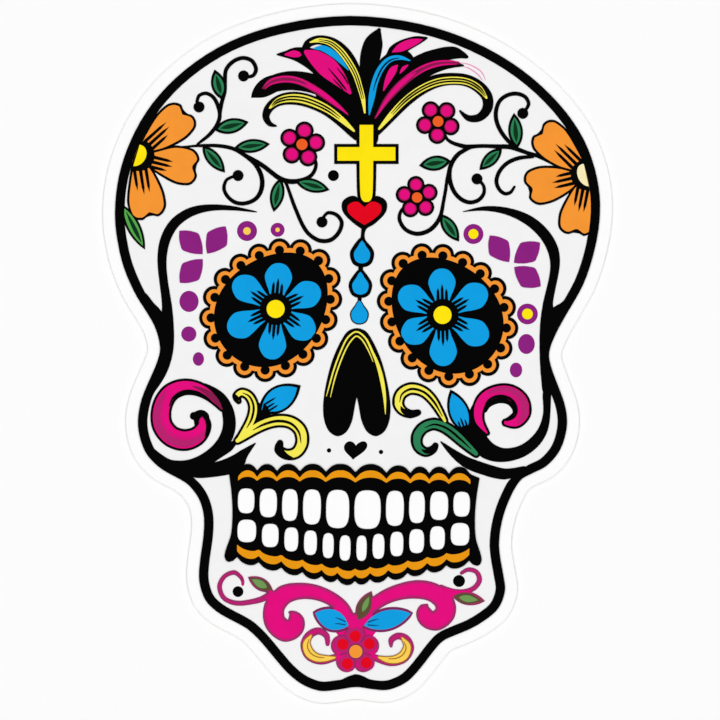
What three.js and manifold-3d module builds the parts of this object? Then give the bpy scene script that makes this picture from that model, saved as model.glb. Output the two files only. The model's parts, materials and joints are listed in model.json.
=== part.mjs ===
// A sugar skull decal for a wall or window: a flat calavera built up from die-cut colour films
// on a peel-off liner. Millimetres. The design is drawn with x to the right of the nose, y up from
// the chin and z out of the face, and the finished stack is centred on its own silhouette, face up.
import * as THREE from 'three';
import { mergeVertices } from 'three/addons/utils/BufferGeometryUtils.js';
import Module from 'manifold-3d';

const wasm = await Module();
wasm.setup();

// Sheet thicknesses, from the back to the front of the stack.
const LINER = 0.2;
const ADHESIVE = 0.2;
const CARRIER = 0.5;
const FILM = 0.3;

// Margins and line widths that hold for the whole design.
const BORDER = 6; // white carrier left round the black contour
const CONTOUR = 4.7; // black band round the skull
const FACE_LAP = 1.2; // how far the face film stops short of the contour's outer edge
const OUTLINE = 1.25; // black left showing round a colour piece
const FIT = 0.5; // gap kept between neighbours in one layer
const LINER_SLIT = 0.6; // gap between the two halves of the liner
const TIP = 0.3; // width of a line where it runs out to a point
const POINT_INSET = 1.7; // inset of a leaf's point, as a share of the inset of its sides
const FLAT = 0.07; // how far a cut line's facets may stand off its curve
const WINDOW = 2; // area of the smallest window that is cut out
const CURVE_STEPS = 2; // facets between two points of a smooth line
const ROUND_STEPS = 12; // facets of a small disc

// The stack: each layer lies on the one before it.
const LAYERS = {};
let stacked = 0;
for (const [name, depth] of Object.entries({
  liner: LINER, adhesive: ADHESIVE, carrier: CARRIER, face: FILM, key: FILM, colour: FILM, detail: FILM,
})) {
  LAYERS[name] = { z: stacked, depth };
  stacked += depth;
}

// Finishes: sheet materials, then one film for each colour.
const finish = (color, roughness) => new THREE.MeshStandardMaterial({ color, roughness, metalness: 0 });
const PAPER = finish('#efe9dc', 0.8);
const GLUE = finish('#e4e0d6', 0.35);
const WHITE = finish('#ffffff', 0.45);
const FACE_WHITE = finish('#f4f4f4', 0.45);
const BLACK = finish('#060606', 0.4);
const ORANGE = finish('#f8951f', 0.42);
const YELLOW = finish('#ffe60a', 0.42);
const RED = finish('#e4032e', 0.42);
const MAGENTA = finish('#e5077e', 0.42);
const PURPLE = finish('#8c1f7f', 0.42);
const BLUE = finish('#0a9fe3', 0.42);
const GREEN = finish('#1f7f4c', 0.42);
const SPRING_GREEN = finish('#55a84a', 0.42);

// Outlines: lists of points in the plane of a sheet.

const point = ([x, y]) => new THREE.Vector2(x, y);
const turned = (x, y, angle) => new THREE.Vector2(x, y).rotateAround(new THREE.Vector2(), angle);

// A smooth closed line through points placed by hand.
function loop(points, steps = CURVE_STEPS) {
  const knots = points.map(([x, y]) => new THREE.Vector3(x, y, 0));
  const curve = new THREE.CatmullRomCurve3(knots, true, 'centripetal');
  return curve.getPoints(points.length * steps).slice(0, -1).map(({ x, y }) => new THREE.Vector2(x, y));
}

// A ribbon along a smooth line of [x, y, width] points, rounded at both ends.
// extra widens it on each side.
function ribbon(points, extra = 0) {
  const knots = points.map(([x, y, width]) => new THREE.Vector3(x, y, width));
  const curve = new THREE.CatmullRomCurve3(knots, false, 'centripetal');
  const spine = curve.getPoints((points.length - 1) * CURVE_STEPS).map(({ x, y, z }) => {
    return { at: new THREE.Vector2(x, y), half: Math.max(z, TIP) / 2 + extra };
  });
  const heading = spine.map((_, i) => {
    const before = spine[Math.max(i - 1, 0)].at;
    const after = spine[Math.min(i + 1, spine.length - 1)].at;
    return after.clone().sub(before).angle();
  });
  const edge = (i, side) => spine[i].at.clone().add(turned(0, side * spine[i].half, heading[i]));
  const clear = (p) => spine.every(({ at, half }) => p.distanceTo(at) > half * 0.985);
  const cap = (i, start) => {
    const { at, half } = spine[i];
    const arc = [1, 2, 3].map((k) => heading[i] + start - (k * Math.PI) / 4);
    return arc.map((angle) => at.clone().add(turned(half, 0, angle)));
  };
  const last = spine.length - 1;
  const left = spine.map((_, i) => edge(i, 1)).filter(clear);
  const right = spine.map((_, i) => edge(i, -1)).filter(clear).reverse();
  return [...left, ...cap(last, Math.PI / 2), ...right, ...cap(0, -Math.PI / 2)];
}

// Shortest distance from a point to the straight between two others.
function gapTo(a, b, p) {
  const span = b.clone().sub(a);
  const share = THREE.MathUtils.clamp(p.clone().sub(a).dot(span) / Math.max(span.lengthSq(), 1e-9), 0, 1);
  return p.distanceTo(a.clone().addScaledVector(span, share));
}

// Shortest distance from a point to a closed outline.
function distanceTo(outline, p) {
  return Math.min(...outline.map((a, i) => gapTo(a, outline[(i + 1) % outline.length], p)));
}

// An outline moved outwards by a margin, or inwards where the margin is negative.
function grown(outline, margin) {
  const side = THREE.ShapeUtils.isClockWise(outline) ? -1 : 1;
  const moved = outline.map((p, i) => {
    const before = outline[(i + outline.length - 1) % outline.length];
    const after = outline[(i + 1) % outline.length];
    const across = after.clone().sub(before).normalize().multiplyScalar(side * margin);
    return new THREE.Vector2(p.x + across.y, p.y - across.x);
  });
  return moved.filter((p) => distanceTo(outline, p) > Math.abs(margin) * 0.97);
}

// A disc or an ellipse.
function disc([x, y], radius, tall = radius, steps = ROUND_STEPS) {
  return new THREE.EllipseCurve(x, y, radius, tall).getPoints(steps).slice(0, -1);
}

// A leaf or petal from base to tip, widest a little before the middle. The inset one lies inside it by a
// margin at the sides and by POINT_INSET margins at the points.
function leaf({ base, tip, width }, inset = 0) {
  const whole = point(tip).sub(point(base));
  const ends = whole.clone().normalize().multiplyScalar(inset * POINT_INSET);
  const root = point(base).add(ends);
  const along = whole.clone().sub(ends.clone().multiplyScalar(2));
  const reach = along.length();
  const swell = (width - 2 * inset) * 0.66;
  const half = [[0, 0], [reach * 0.3, swell], [reach * 0.7, swell * 0.9], [reach, 0]].map(point);
  const upper = new THREE.CubicBezierCurve(...half).getPoints(CURVE_STEPS * 4);
  const lower = upper.slice(1, -1).reverse().map(({ x, y }) => new THREE.Vector2(x, -y));
  return [...upper, ...lower].map(({ x, y }) => turned(x, y, along.angle()).add(root));
}

// Solids: sheets of film cut to an outline, ready to be joined and cut.

function sheet(outline) {
  const shape = new THREE.Shape(outline);
  const geometry = new THREE.ExtrudeGeometry(shape, { depth: FILM, bevelEnabled: false });
  geometry.deleteAttribute('normal');
  geometry.deleteAttribute('uv');
  const merged = mergeVertices(geometry, 1e-4);
  const vertProperties = merged.getAttribute('position').array;
  const triVerts = new Uint32Array(merged.index.array);
  return new wasm.Manifold(new wasm.Mesh({ numProp: 3, vertProperties, triVerts }));
}

const joined = (solids) => solids.reduce((all, solid) => all.add(solid));
const sheets = (outlines) => joined(outlines.map((outline) => sheet(outline)));

// The closed loops round the upper face of a joined sheet, the outer one first.
function cutLines(solid) {
  const { vertProperties, triVerts } = solid.getMesh();
  const raised = (v) => vertProperties[v * 3 + 2] > FILM / 2;
  const edges = new Map();
  for (let t = 0; t < triVerts.length; t += 3) {
    const [a, b, c] = triVerts.slice(t, t + 3);
    if (![a, b, c].every(raised)) continue;
    for (const edge of [[a, b], [b, c], [c, a]]) edges.set(edge.join(), edge);
  }
  const rim = new Map();
  for (const [a, b] of edges.values()) {
    if (!edges.has([b, a].join())) rim.set(a, b);
  }
  const lines = [];
  while (rim.size) {
    const line = [];
    let v = rim.keys().next().value;
    while (rim.has(v)) {
      line.push(new THREE.Vector2(vertProperties[v * 3], vertProperties[v * 3 + 1]));
      const after = rim.get(v);
      rim.delete(v);
      v = after;
    }
    lines.push(thinned([...line, line[0]]).slice(0, -1));
  }
  const size = (line) => Math.abs(THREE.ShapeUtils.area(line));
  return lines.filter((line) => size(line) > WINDOW).sort((one, two) => size(two) - size(one));
}

// A line without the points that lie closer than FLAT to what is left.
function thinned(line) {
  const first = line[0];
  const last = line[line.length - 1];
  const gaps = line.map((p) => gapTo(first, last, p));
  const far = gaps.indexOf(Math.max(...gaps));
  if (gaps[far] < FLAT) return [first, last];
  return [...thinned(line.slice(0, far + 1)).slice(0, -1), ...thinned(line.slice(far))];
}

// A named mesh: a joined sheet cut afresh at the depth of its layer.
function piece(name, solid, { z, depth }, material) {
  const [outer, ...windows] = cutLines(solid);
  const shape = new THREE.Shape(outer);
  shape.holes = windows.map((line) => new THREE.Path(line));
  const mesh = new THREE.Mesh(new THREE.ExtrudeGeometry(shape, { depth, bevelEnabled: false }), material);
  mesh.name = name;
  mesh.position.z = z;
  return mesh;
}

// The skull: its silhouette runs from the chin up the left side, over the crown and down the right side.
const SKULL = [
  [0, 2.5], [-17, 0.5], [-28, 4.5], [-37, 12.5], [-47, 24.5], [-55, 32], [-67, 38.5], [-75, 45.5],
  [-78.5, 57.5], [-76.5, 76], [-76, 87], [-78.5, 96.5], [-85, 104.5], [-96.5, 111], [-105, 119.5],
  [-109, 133.5], [-107, 147], [-101.5, 160], [-98, 171], [-101, 183.5], [-109.5, 197.5], [-116, 212],
  [-119.5, 227], [-120.5, 240], [-118.5, 258], [-112.5, 276], [-102, 294], [-85.5, 311], [-63.5, 325],
  [-36.5, 334], [-3, 338], [32, 334], [59, 325], [83, 311], [102, 293.5], [114, 276], [120.5, 257],
  [122, 240], [119.5, 222], [113.5, 203.5], [105, 188.5], [98.5, 176], [96.5, 168], [99.5, 157],
  [104, 145], [105.5, 134], [102, 121], [94.5, 112.5], [83, 106.5], [77, 97], [73, 85.5], [71.5, 73],
  [73.5, 59], [74.5, 51], [70.5, 41], [57, 31.5], [43.5, 25.5], [35, 15.5], [26, 5.5], [15, 1],
];
const skull = loop(SKULL);
const border = grown(skull, BORDER);
const opening = grown(skull, -CONTOUR);

// Brow and cheek lines: black ribbons of [x, y, width] that spring from the contour.
const BROW_LINES = [
  [[-49.5, 240, 0.3], [-60, 241.7, 2], [-72, 242.2, 3.2], [-82.5, 240, 4.5], [-91, 234, 5],
    [-95.7, 225, 5], [-97, 215, 4.5], [-96, 204, 4.3], [-94.5, 193, 5], [-94.5, 181, 7], [-95, 170, 7],
    [-98, 160, 6.5], [-103, 150, 4]],
  [[53.5, 240.2, 0.3], [64, 241.7, 2.2], [75, 240.5, 3.5], [86, 236, 5], [94, 229, 5.5], [98.5, 221, 5.5],
    [99.5, 213, 4.7], [98, 204, 4.3], [96, 194.5, 5], [95.5, 183.5, 7], [94.5, 171, 5.5],
    [95, 160, 5.5], [95.4, 151, 4.5]],
  [[-105, 199, 0.6], [-102, 193.6, 2.6], [-99.3, 189, 5], [-97.8, 184, 4]],
  [[108.6, 200.5, 0.6], [106.3, 196.4, 2.8], [103.6, 192.6, 4.6], [100.5, 190.2, 5.6], [98, 187, 6]],
];
const CHEEK_LINES = [
  [[-84, 154.4, 1], [-78.5, 154, 2.2], [-72.5, 151.5, 3], [-67.2, 147.3, 4.2], [-64, 140, 6],
    [-63.5, 132, 6.5], [-66.5, 124.5, 6.5], [-73, 117.5, 7], [-83, 112.5, 7.5], [-94, 113.5, 6],
    [-102, 120, 4]],
  [[-60.2, 125.2, 2], [-63.5, 122.4, 4.2], [-68, 119.5, 4.4], [-73, 117, 6]],
  [[-50.4, 124.3, 0.6], [-56.2, 119, 4.8], [-60.4, 114.2, 8.6], [-66, 112.3, 7.6], [-73, 110.8, 7],
    [-80, 110, 6]],
  [[96, 156, 4.5], [95.4, 148, 4.2], [95.4, 140, 3.6], [93.8, 132, 4.6], [90, 125.8, 5.5], [83, 120.5, 6],
    [73.5, 118.5, 7], [65.5, 121, 9], [60.5, 127, 9], [58.2, 135, 5], [58.2, 141, 2.4], [60, 145.6, 0.8]],
  [[42.5, 125, 0.8], [48, 120, 3.5], [55, 115, 5.5], [64, 111.5, 6], [74.5, 109, 5.5], [84.5, 111, 4]],
  [[-10, 3, 4], [-5.5, 4.7, 4.2], [0, 6.9, 4], [5.5, 4.7, 4.2], [10, 3, 4]],
];

// Marigolds: three notched petals round a hub that is half hidden behind the contour. Each petal has
// its angle in degrees and its reach from the hub.
const MARIGOLD_WIDTH = 16.6;
const MARIGOLD_HUB = 5;
const MARIGOLD_PARTING = 1.3; // black line between two petals
const MARIGOLDS = {
  left: { hub: [-108.5, 268.3], petals: [[42, 32], [-13.5, 29.3], [-81, 31]] },
  right: { hub: [115, 258.5], petals: [[135.5, 32], [193, 29.7], [259, 29.5]] },
};

// Blossoms: five round petals on a ring, joined to each other under the eye. Each has its own size.
const BLOSSOM_RING = 7;
const BLOSSOM_PETAL = 3.4;
const BLOSSOM_PETALS = 5;
const BLOSSOM_JOIN = 0.5; // overlap of a petal and the hub under the eye
const BLOSSOMS = {
  left_blossom: { at: [-27, 273.7], turn: 80, size: 1 },
  right_blossom_upper: { at: [41, 285.2], turn: 51, size: 0.96 },
  right_blossom_lower: { at: [30.5, 247.2], turn: 23, size: 0.92 },
};

// Vines: black stems of [x, y, width] that grow out of the marigolds. Each ends in a blossom, a round bud
// or a curl.
const BUD = 2.75;
const STEM_ROOT = 2; // width of a stem at the middle of its flower
const VINES = [
  { stem: [[...MARIGOLDS.left.hub, STEM_ROOT], [-97, 271, 1.6], [-86, 272.6, 1], [-76, 273.2, 1.6],
    [-68, 273, 1.8], [-61, 271.5, 2], [-55.5, 268.3, 2.2], [-50.2, 263.7, 2.3], [-47.2, 257.5, 2.3],
    [-47.2, 251.7, 2.3], [-49.7, 247, 2.1], [-54.5, 244.5, 2], [-59.5, 244.5, 2], [-63.5, 247, 1.9],
    [-66, 251.5, 1.8], [-64.7, 256, 1.6], [-61.5, 257.7, 1.5]],
    bud: [-59, 258.2] },
  { stem: [[-79.5, 273.7, 1], [-74, 278, 1.8], [-70, 282.7, 2], [-68.1, 287.8, 2], [-69, 293, 2],
    [-71.5, 297.5, 1.9], [-75, 299.3, 1.8], [-78.5, 298.1, 1.7], [-79.5, 295, 1.6]],
    bud: [-78.5, 292.5] },
  { stem: [[-68.2, 288, 1.8], [-67.2, 294.5, 2], [-65.7, 300, 2], [-65.5, 306, 2], [-65, 311, 2],
    [-61.7, 315, 2], [-56.7, 317, 2], [-52, 315.5, 2], [-50, 311.2, 2], [-51.5, 308.2, 1.8],
    [-54.5, 307.4, 1.6]], bud: [-56.2, 308] },
  { stem: [[-55, 268.2, 1.8], [-49.6, 265.1, 2.2], [-45, 262, 2.3], [-40, 258, 2.4], [-35, 255.5, 2.6],
    [-28.5, 255.5, 2.4], [-22.7, 258, 2], [-20.2, 262.2, 1.8], [-20.5, 266.5, 1.6],
    [...BLOSSOMS.left_blossom.at, STEM_ROOT]] },
  { stem: [[-35.5, 255.7, 1.8], [-32.7, 248, 1.8], [-29.2, 239, 1.9], [-24.5, 230, 2],
    [-18.5, 225.8, 2.1], [-12.7, 226, 2.1], [-8.5, 230, 2.1], [-7.2, 235, 2], [-10, 238.7, 1.9],
    [-14.2, 239.5, 1.7], [-16.2, 237.5, 1.5]], bud: [-17, 235] },
  { stem: [[...MARIGOLDS.right.hub, STEM_ROOT], [97.5, 264.6, 1.6], [91, 268, 2], [85.7, 269.5, 2],
    [81.7, 271, 2.2], [77, 272.5, 2.4], [71.5, 272.7, 2.2], [63, 273, 1.9], [56, 272.5, 2.4],
    [52, 273.3, 2], [48, 274.7, 1.8], [45.5, 276.5, 1.6],
    [...BLOSSOMS.right_blossom_upper.at, STEM_ROOT]] },
  { stem: [[57, 272.2, 2], [51.5, 269.2, 2.2], [48, 264.7, 2.3], [46.7, 260, 2.3], [47.3, 254.3, 2.2],
    [49.7, 249.2, 2.1], [53.7, 245.7, 2.1], [57.7, 244.8, 2], [61.7, 246.3, 2], [64, 249.7, 1.8],
    [63.7, 253.2, 1.6], [62, 255.5, 1.5]], bud: [60.5, 256.5] },
  { stem: [[46.7, 262, 1.6], [45.5, 256, 1.7], [44.7, 250.3, 1.7], [43.5, 244, 1.8], [42.5, 238.8, 2],
    [40, 234, 2.2], [36, 230.5, 2.2], [30.2, 229.1, 2.1], [24.5, 231.5, 2], [21.7, 236.5, 1.9],
    [22.5, 240.5, 1.6], [25, 243.5, 1.4], [...BLOSSOMS.right_blossom_lower.at, STEM_ROOT]] },
  { stem: [[88.5, 267.7, 1.6], [81.7, 267, 2], [76, 264.7, 2], [72, 260.7, 2], [70.2, 255.5, 2],
    [71.5, 251.5, 1.9], [74.3, 249.2, 1.8], [77.2, 249.8, 1.7], [79.2, 252.6, 1.2]] },
  { stem: [[80, 271.7, 1.8], [76, 275.6, 2], [72.5, 280.2, 2.1], [70.3, 285.3, 2.1], [70, 290.5, 2.1],
    [72, 295.7, 2], [76, 298.5, 2], [80.6, 299.1, 2], [84.7, 297.4, 1.9], [86.3, 294, 1.8],
    [85, 291.3, 1.6]],
    bud: [83.4, 289.3] },
];

// Leaves on the vines, each drawn as the black shape from base to tip.
// The green film inside is smaller by OUTLINE.
const LEAVES = {
  left_leaf_crown: { base: [-66.7, 296], tip: [-70.7, 311.2], width: 7.8 },
  left_leaf_upper: { base: [-71, 281], tip: [-53.7, 285], width: 8 },
  left_leaf_inner: { base: [-76.8, 273.2], tip: [-65.5, 259.7], width: 7.3 },
  left_leaf_stem: { base: [-61, 272], tip: [-43, 274], width: 7.3 },
  left_leaf_hanging: { base: [-37.7, 257], tip: [-41.2, 240], width: 7.5 },
  left_leaf_brow: { base: [-30.5, 255.5], tip: [-13.2, 251], width: 7.3 },
  right_leaf_crown: { base: [80.5, 271.5], tip: [79, 289.5], width: 7.8 },
  right_leaf_stem: { base: [73, 272], tip: [61.7, 261], width: 7 },
  right_leaf_inner: { base: [47.5, 265.5], tip: [31.5, 263.2], width: 8 },
  right_leaf_brow: { base: [42.2, 239], tip: [51.5, 225.2], width: 7.5 },
};
const TEMPLE_LEAF = { base: [-117, 244], tip: [-105.5, 221.2], width: 7.4 };

// The outline of a marigold's petal, as shares of its reach and its width.
const MARIGOLD_PETAL = [
  [0.05, 0.1], [0.3, 0.3], [0.62, 0.49], [0.87, 0.49], [0.98, 0.28], [0.93, 0.04], [1, -0.2],
  [0.94, -0.44], [0.72, -0.5], [0.38, -0.33], [0.05, -0.1],
];

function marigoldPetals({ hub, petals }, margin = 0) {
  return petals.map(([degrees, reach]) => {
    const angle = THREE.MathUtils.degToRad(degrees);
    const unit = loop(MARIGOLD_PETAL);
    const petal = unit.map(({ x, y }) => turned(x * reach, y * MARIGOLD_WIDTH, angle).add(point(hub)));
    return margin ? grown(petal, margin) : petal;
  });
}

// The lines that part each petal from the next, from the rim of the hub outwards.
function marigoldPartings({ hub, petals }) {
  return petals.slice(1).map(([degrees, reach], i) => {
    const angle = THREE.MathUtils.degToRad((degrees + petals[i][0]) / 2);
    const ends = [MARIGOLD_HUB, reach].map((far) => turned(far, 0, angle).add(point(hub)));
    return ribbon(ends.map(({ x, y }) => [x, y, MARIGOLD_PARTING]));
  });
}

// Centres spaced evenly on a ring, the first at an angle in degrees.
function ringOf(count, [x, y], radius, turn = 0) {
  const start = THREE.MathUtils.degToRad(turn);
  return Array.from({ length: count }, (_, k) => {
    const spot = turned(radius, 0, start + (k * 2 * Math.PI) / count);
    return [x + spot.x, y + spot.y];
  });
}

function blossom({ at, turn, size }, margin = 0) {
  const hub = (BLOSSOM_RING - BLOSSOM_PETAL) * size + BLOSSOM_JOIN;
  const petals = ringOf(BLOSSOM_PETALS, at, BLOSSOM_RING * size, turn);
  const petal = BLOSSOM_PETAL * size + margin;
  return sheets([disc(at, hub + margin), ...petals.map((spot) => disc(spot, petal))]);
}

// Eyes: a scalloped black socket, a scalloped orange rim and a six-petalled flower inside it.
const EYE_SCALLOPS = 18;
const EYE_RING = 30.1; // mean radius of the oval that the scallops are centred on
const EYE_SLANT = 0.1; // share the oval is longer along its lean, and shorter across it
const EYE_TAPER = 0.11; // share the oval narrows towards its upper end and widens towards its lower one
const OVAL_STEPS = 72;
const EYE_SCALLOP = 5.7;
const EYE_EDGE = 1.7; // black left outside the orange rim
const EYE_RIM = 2.3; // orange between two scallops
const EYE_PETALS = 6;
const EYE_PETAL_GAP = 0.5; // between the tightest petal and the rim
const EYE_PETAL_WIDTH = 13.6;
const EYE_HUB = 5.6;
const EYE_CENTRE = 4.5;
const EYE_SQUINT = 1.9; // shift of the flower towards the nose
// Each petal is given as a share of the reach that clears the rim all round.
const EYES = {
  left: { at: [-42.05, 191.5], lean: 46, side: 1, turn: 25, petals: [1.06, 1, 1.1, 1.14, 1.1, 1] },
  right: { at: [45.15, 188.5], lean: 130, side: -1, turn: 31, petals: [1.11, 1.01, 1.07, 1, 1.11, 1.12] },
};
const eyeReach = EYE_RING * (1 - EYE_SLANT) - EYE_EDGE - EYE_SQUINT - EYE_PETAL_GAP;
const flowerAt = ({ at, side }) => [at[0] + side * EYE_SQUINT, at[1]];

// Points at even steps along an eye's oval, or along one that lies inside it by an inset. The oval tapers
// like an egg, and is moved by a quarter of the taper so that its middle stays where it was.
function eyeOval({ at, lean }, steps, inset = 0) {
  const long = EYE_RING * (1 + EYE_SLANT) - inset;
  const short = EYE_RING * (1 - EYE_SLANT) - inset;
  const around = Array.from({ length: OVAL_STEPS + 1 }, (_, k) => {
    const spot = turned(1, 0, (k * 2 * Math.PI) / OVAL_STEPS);
    const along = long * spot.x + (short * EYE_TAPER) / 4;
    const across = short * spot.y * (1 - EYE_TAPER * spot.x);
    return turned(along, across, THREE.MathUtils.degToRad(lean)).add(point(at));
  });
  return new THREE.SplineCurve(around).getSpacedPoints(steps).slice(0, -1);
}

function eyeSocket(eye) {
  const ring = eyeOval(eye, EYE_SCALLOPS);
  return sheets([ring, ...ring.map(({ x, y }) => disc([x, y], EYE_SCALLOP))]);
}

function eyeRim(eye) {
  const band = eyeOval(eye, EYE_SCALLOPS * 2, EYE_EDGE - EYE_RIM);
  const bumps = eyeOval(eye, EYE_SCALLOPS).map(({ x, y }) => disc([x, y], EYE_SCALLOP - EYE_EDGE));
  const pupil = eyeOval(eye, EYE_SCALLOPS * 2, EYE_EDGE);
  return sheets([band, ...bumps]).subtract(sheet(pupil));
}

function eyeFlower(eye) {
  const hub = flowerAt(eye);
  const petals = ringOf(EYE_PETALS, [0, 0], 1, eye.turn).map(([x, y], k) => {
    const angle = Math.atan2(y, x);
    const half = EYE_PETAL_WIDTH / 2;
    const reach = eyeReach * eye.petals[k];
    const belly = reach - half;
    const side = [[0, 0.6], [belly * 0.55, half * 0.62], [belly, half], [reach * 0.95, half * 0.55]];
    const mirrored = side.map(([x, y]) => [x, -y]).reverse();
    const petal = loop([...side, [reach, 0], ...mirrored]);
    return petal.map((p) => turned(p.x, p.y, angle).add(point(hub)));
  });
  return sheets([disc(hub, EYE_HUB), ...petals]);
}

// Crest: black feathers that fan out above the cross, with colour streaks laid on them.
const CREST_FEATHERS = [
  [[0.5, 277.5, 4], [-6, 284.6, 6], [-13.5, 290.6, 6.2], [-20.5, 294.3, 6.5], [-27.2, 296.4, 6.6],
    [-33.9, 296.8, 6.2], [-39.6, 295.2, 5.2], [-43.6, 291.8, 4.4], [-45, 287.5, 3.5], [-43, 284, 2.5],
    [-40, 283, 1]],
  [[-0.5, 286, 3], [-5.5, 292, 6], [-12.5, 299.5, 8], [-20.5, 303.8, 9.5], [-27, 305.3, 9.6],
    [-34, 305.6, 9.4], [-41, 304.2, 8.4], [-46.5, 301.4, 5.6], [-50.3, 297.8, 0.8]],
  [[0.5, 290, 4], [-4, 298.5, 10], [-9.6, 307, 14.2], [-17, 314, 13], [-24.5, 317.5, 9.5],
    [-30.5, 319, 6.6], [-35, 318.8, 3.6], [-39.3, 318.7, 0.8]],
  [[4, 287, 4], [2.5, 298.5, 5.5], [0, 309, 6], [-5, 318.5, 6], [-11.5, 324.2, 5.5], [-19, 326, 4.5],
    [-24, 324, 4], [-26, 320.5, 3]],
  [[4.5, 290, 3], [6, 306, 8], [7, 317, 10], [9, 325, 9], [11.5, 331, 2]],
  [[6.5, 288.5, 4], [8.5, 300, 6], [12.5, 310.5, 7], [18.5, 317.2, 7], [24, 319, 5], [28.5, 316, 2]],
  [[14.5, 312, 4], [19.5, 320, 7], [26, 324, 6], [31.5, 326, 4], [35.5, 327, 0.8]],
  [[11, 296, 5], [18, 308.5, 10], [26, 316, 6]],
  [[14.5, 293.5, 4], [22, 306, 8], [31, 313.5, 9], [41, 318.2, 7], [49.5, 319.5, 6], [55.5, 317.5, 1.5]],
  [[10.5, 288, 4], [18.6, 297.8, 7.2], [27.7, 306.4, 7.8], [37.5, 311.8, 6.4], [46, 313.8, 4.4],
    [53.5, 313.2, 1]],
  [[10.5, 279.5, 3], [17, 288, 6], [24.5, 296, 7], [32.5, 302, 7], [40.5, 305.5, 6.5], [48.5, 306.5, 6],
    [56, 305.5, 6], [62, 302, 6], [65.7, 297, 5.5], [65.5, 291.5, 5], [61.5, 287.2, 4], [56, 287, 3],
    [52, 290.5, 1]],
  [[6, 276, 10], [6.5, 296, 13]],
];
const CREST_STREAKS = {
  crest_left_plume: { colour: MAGENTA, line: [[-3, 299.5, 1.5], [-8, 306, 7], [-14.5, 312.5, 10],
    [-21.5, 318, 6.5], [-25, 320, 2]] },
  crest_left_feather: { colour: YELLOW, line: [[-1, 280.5, 1], [-6, 285.2, 2.6], [-13.5, 290.9, 3.5],
    [-20.5, 294.4, 4], [-27.2, 296.5, 4.1], [-33.9, 296.8, 3.7], [-39.4, 295.2, 2.7], [-43, 292, 1]] },
  crest_right_feather: { colour: YELLOW, line: [[11.5, 281.5, 1], [17, 288, 2.6], [24.5, 295.8, 3],
    [32.5, 301.5, 3.3], [40.5, 304.9, 3.4], [48.5, 305.9, 3.4], [56, 305, 3.2], [61.8, 301.6, 2.8],
    [65.2, 297, 1]] },
};

// Forehead: a cross standing on a heart, with three drops hanging below it.
const CROSS_AT = [5.2, 269];
const CROSS_BAR = 6.8;
const CROSS_SPAN = 29;
const CROSS_ABOVE = 14.5;
const CROSS_BELOW = 24;
const CROSS_EDGE = 1.6;
const HEART_AT = [4.2, 239.2];
const HEART_WIDTH = 17;
const HEART_HEIGHT = 11.4;
const HEART_EDGE = 2.8;
const DROP_WIDTH = 8.4;
const DROP_HEIGHT = 11.4;
const DROPS = { upper_drop: [3, 220], middle_drop: [2.2, 204.4], lower_drop: [1.7, 190] };
const DROP_EDGES = { upper_drop: 2, middle_drop: 1.8, lower_drop: 0.6 };

function cross(edge = 0) {
  const [x, y] = CROSS_AT;
  const half = CROSS_BAR / 2 + edge;
  const reach = CROSS_SPAN / 2 + edge;
  const top = CROSS_ABOVE + edge;
  const foot = -CROSS_BELOW - edge;
  const side = [[half, top], [half, half], [reach, half], [reach, -half], [half, -half],
    [half * 0.92, foot + 5], [half * 0.78, foot + 2], [half * 0.5, foot + 0.5], [half * 0.17, foot]];
  const mirrored = side.map(([u, v]) => [-u, v]).reverse();
  return [...side, ...mirrored].map(([u, v]) => new THREE.Vector2(x + u, y + v));
}

// A heart about its middle, point down.
function heart([x, y], width, height) {
  const w = width / 2;
  const h = height / 2;
  const lobe = [
    [0, h * 0.55], [w * 0.45, h * 1.05], [w * 0.95, h * 0.75], [w * 0.95, h * 0.1], [w * 0.5, -h * 0.55],
    [0, -h],
  ];
  const half = new THREE.SplineCurve(lobe.map(point)).getPoints(lobe.length * CURVE_STEPS);
  const mirrored = half.slice(1, -1).reverse().map((p) => new THREE.Vector2(-p.x, p.y));
  return [...half, ...mirrored].map((p) => new THREE.Vector2(x + p.x, y + p.y));
}

// A drop with its point up, and its round end below.
function drop([x, y], width, height) {
  const radius = width / 2;
  const low = y - height / 2 + radius;
  const side = [[0.5, 0.98], [0.97, 0.2], [0.72, -0.72]].map(([u, v]) => [u * radius, low + v * radius]);
  const right = side.map(([u, v]) => [x + u, v]);
  const left = side.map(([u, v]) => [x - u, v]).reverse();
  return loop([[x, y + height / 2], ...right, [x, low - radius], ...left]);
}

// Nose: an upside-down heart with a slit. Its right half runs from the top to the foot of the slit,
// measured from the middle line of the nose.
const NOSE_X = 0.4;
const NOSE_HALF = [
  [0, 181.9], [4.2, 180.6], [6.6, 177.8], [10, 171.4], [12.8, 164.2], [15.2, 154.8], [16.7, 145.5],
  [16.5, 137], [13.9, 130.4], [9.5, 127.9], [5, 130.3], [2, 137],
];
const NOSE_SLIT = [0, 147.5];

// Mouth: a black frame with windows for the teeth, and an orange scalloped gum above and below.
const MOUTH_X = -0.8;
const MOUTH_HALF = 58;
const MOUTH_TOP = 110; // cusps of the frame's upper edge
const MOUTH_LOW = 66.6; // cusps of its lower edge at the corners
const MOUTH_SAG = 11.2; // how far that lower edge hangs down in the middle
const SAG_SHAPE = 1.2; // 1 hangs down as a sharp V, 2 as a bow
const MOUTH_EDGE = 3.2; // black outside the gum
const MOUTH_TILT = -0.9; // degrees
const UPPER_SCALLOPS = [9.4, 9.8, 11.4, 13, 14.7, 15.5, 11.9, 9.4, 9.8, 10.7];
const UPPER_RISE = 3.6;
const LOWER_SCALLOPS = [11, 11.5, 10.7, 9.8, 8, 8.9, 7.6, 9.2, 9.8, 9.8, 9.8, 11.5];
const LOWER_RISE = 2.4;
const SCALLOP_STEPS = 5;
const UPPER_GUM = 1.9; // depth of a gum between two scallops
const LOWER_GUM = 3;
const GUM_FLAT = 0.6; // rise of its inner edge, as a share of the outer edge's
const UPPER_ROOT = 9; // from the cusps of the upper edge down to the teeth
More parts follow.
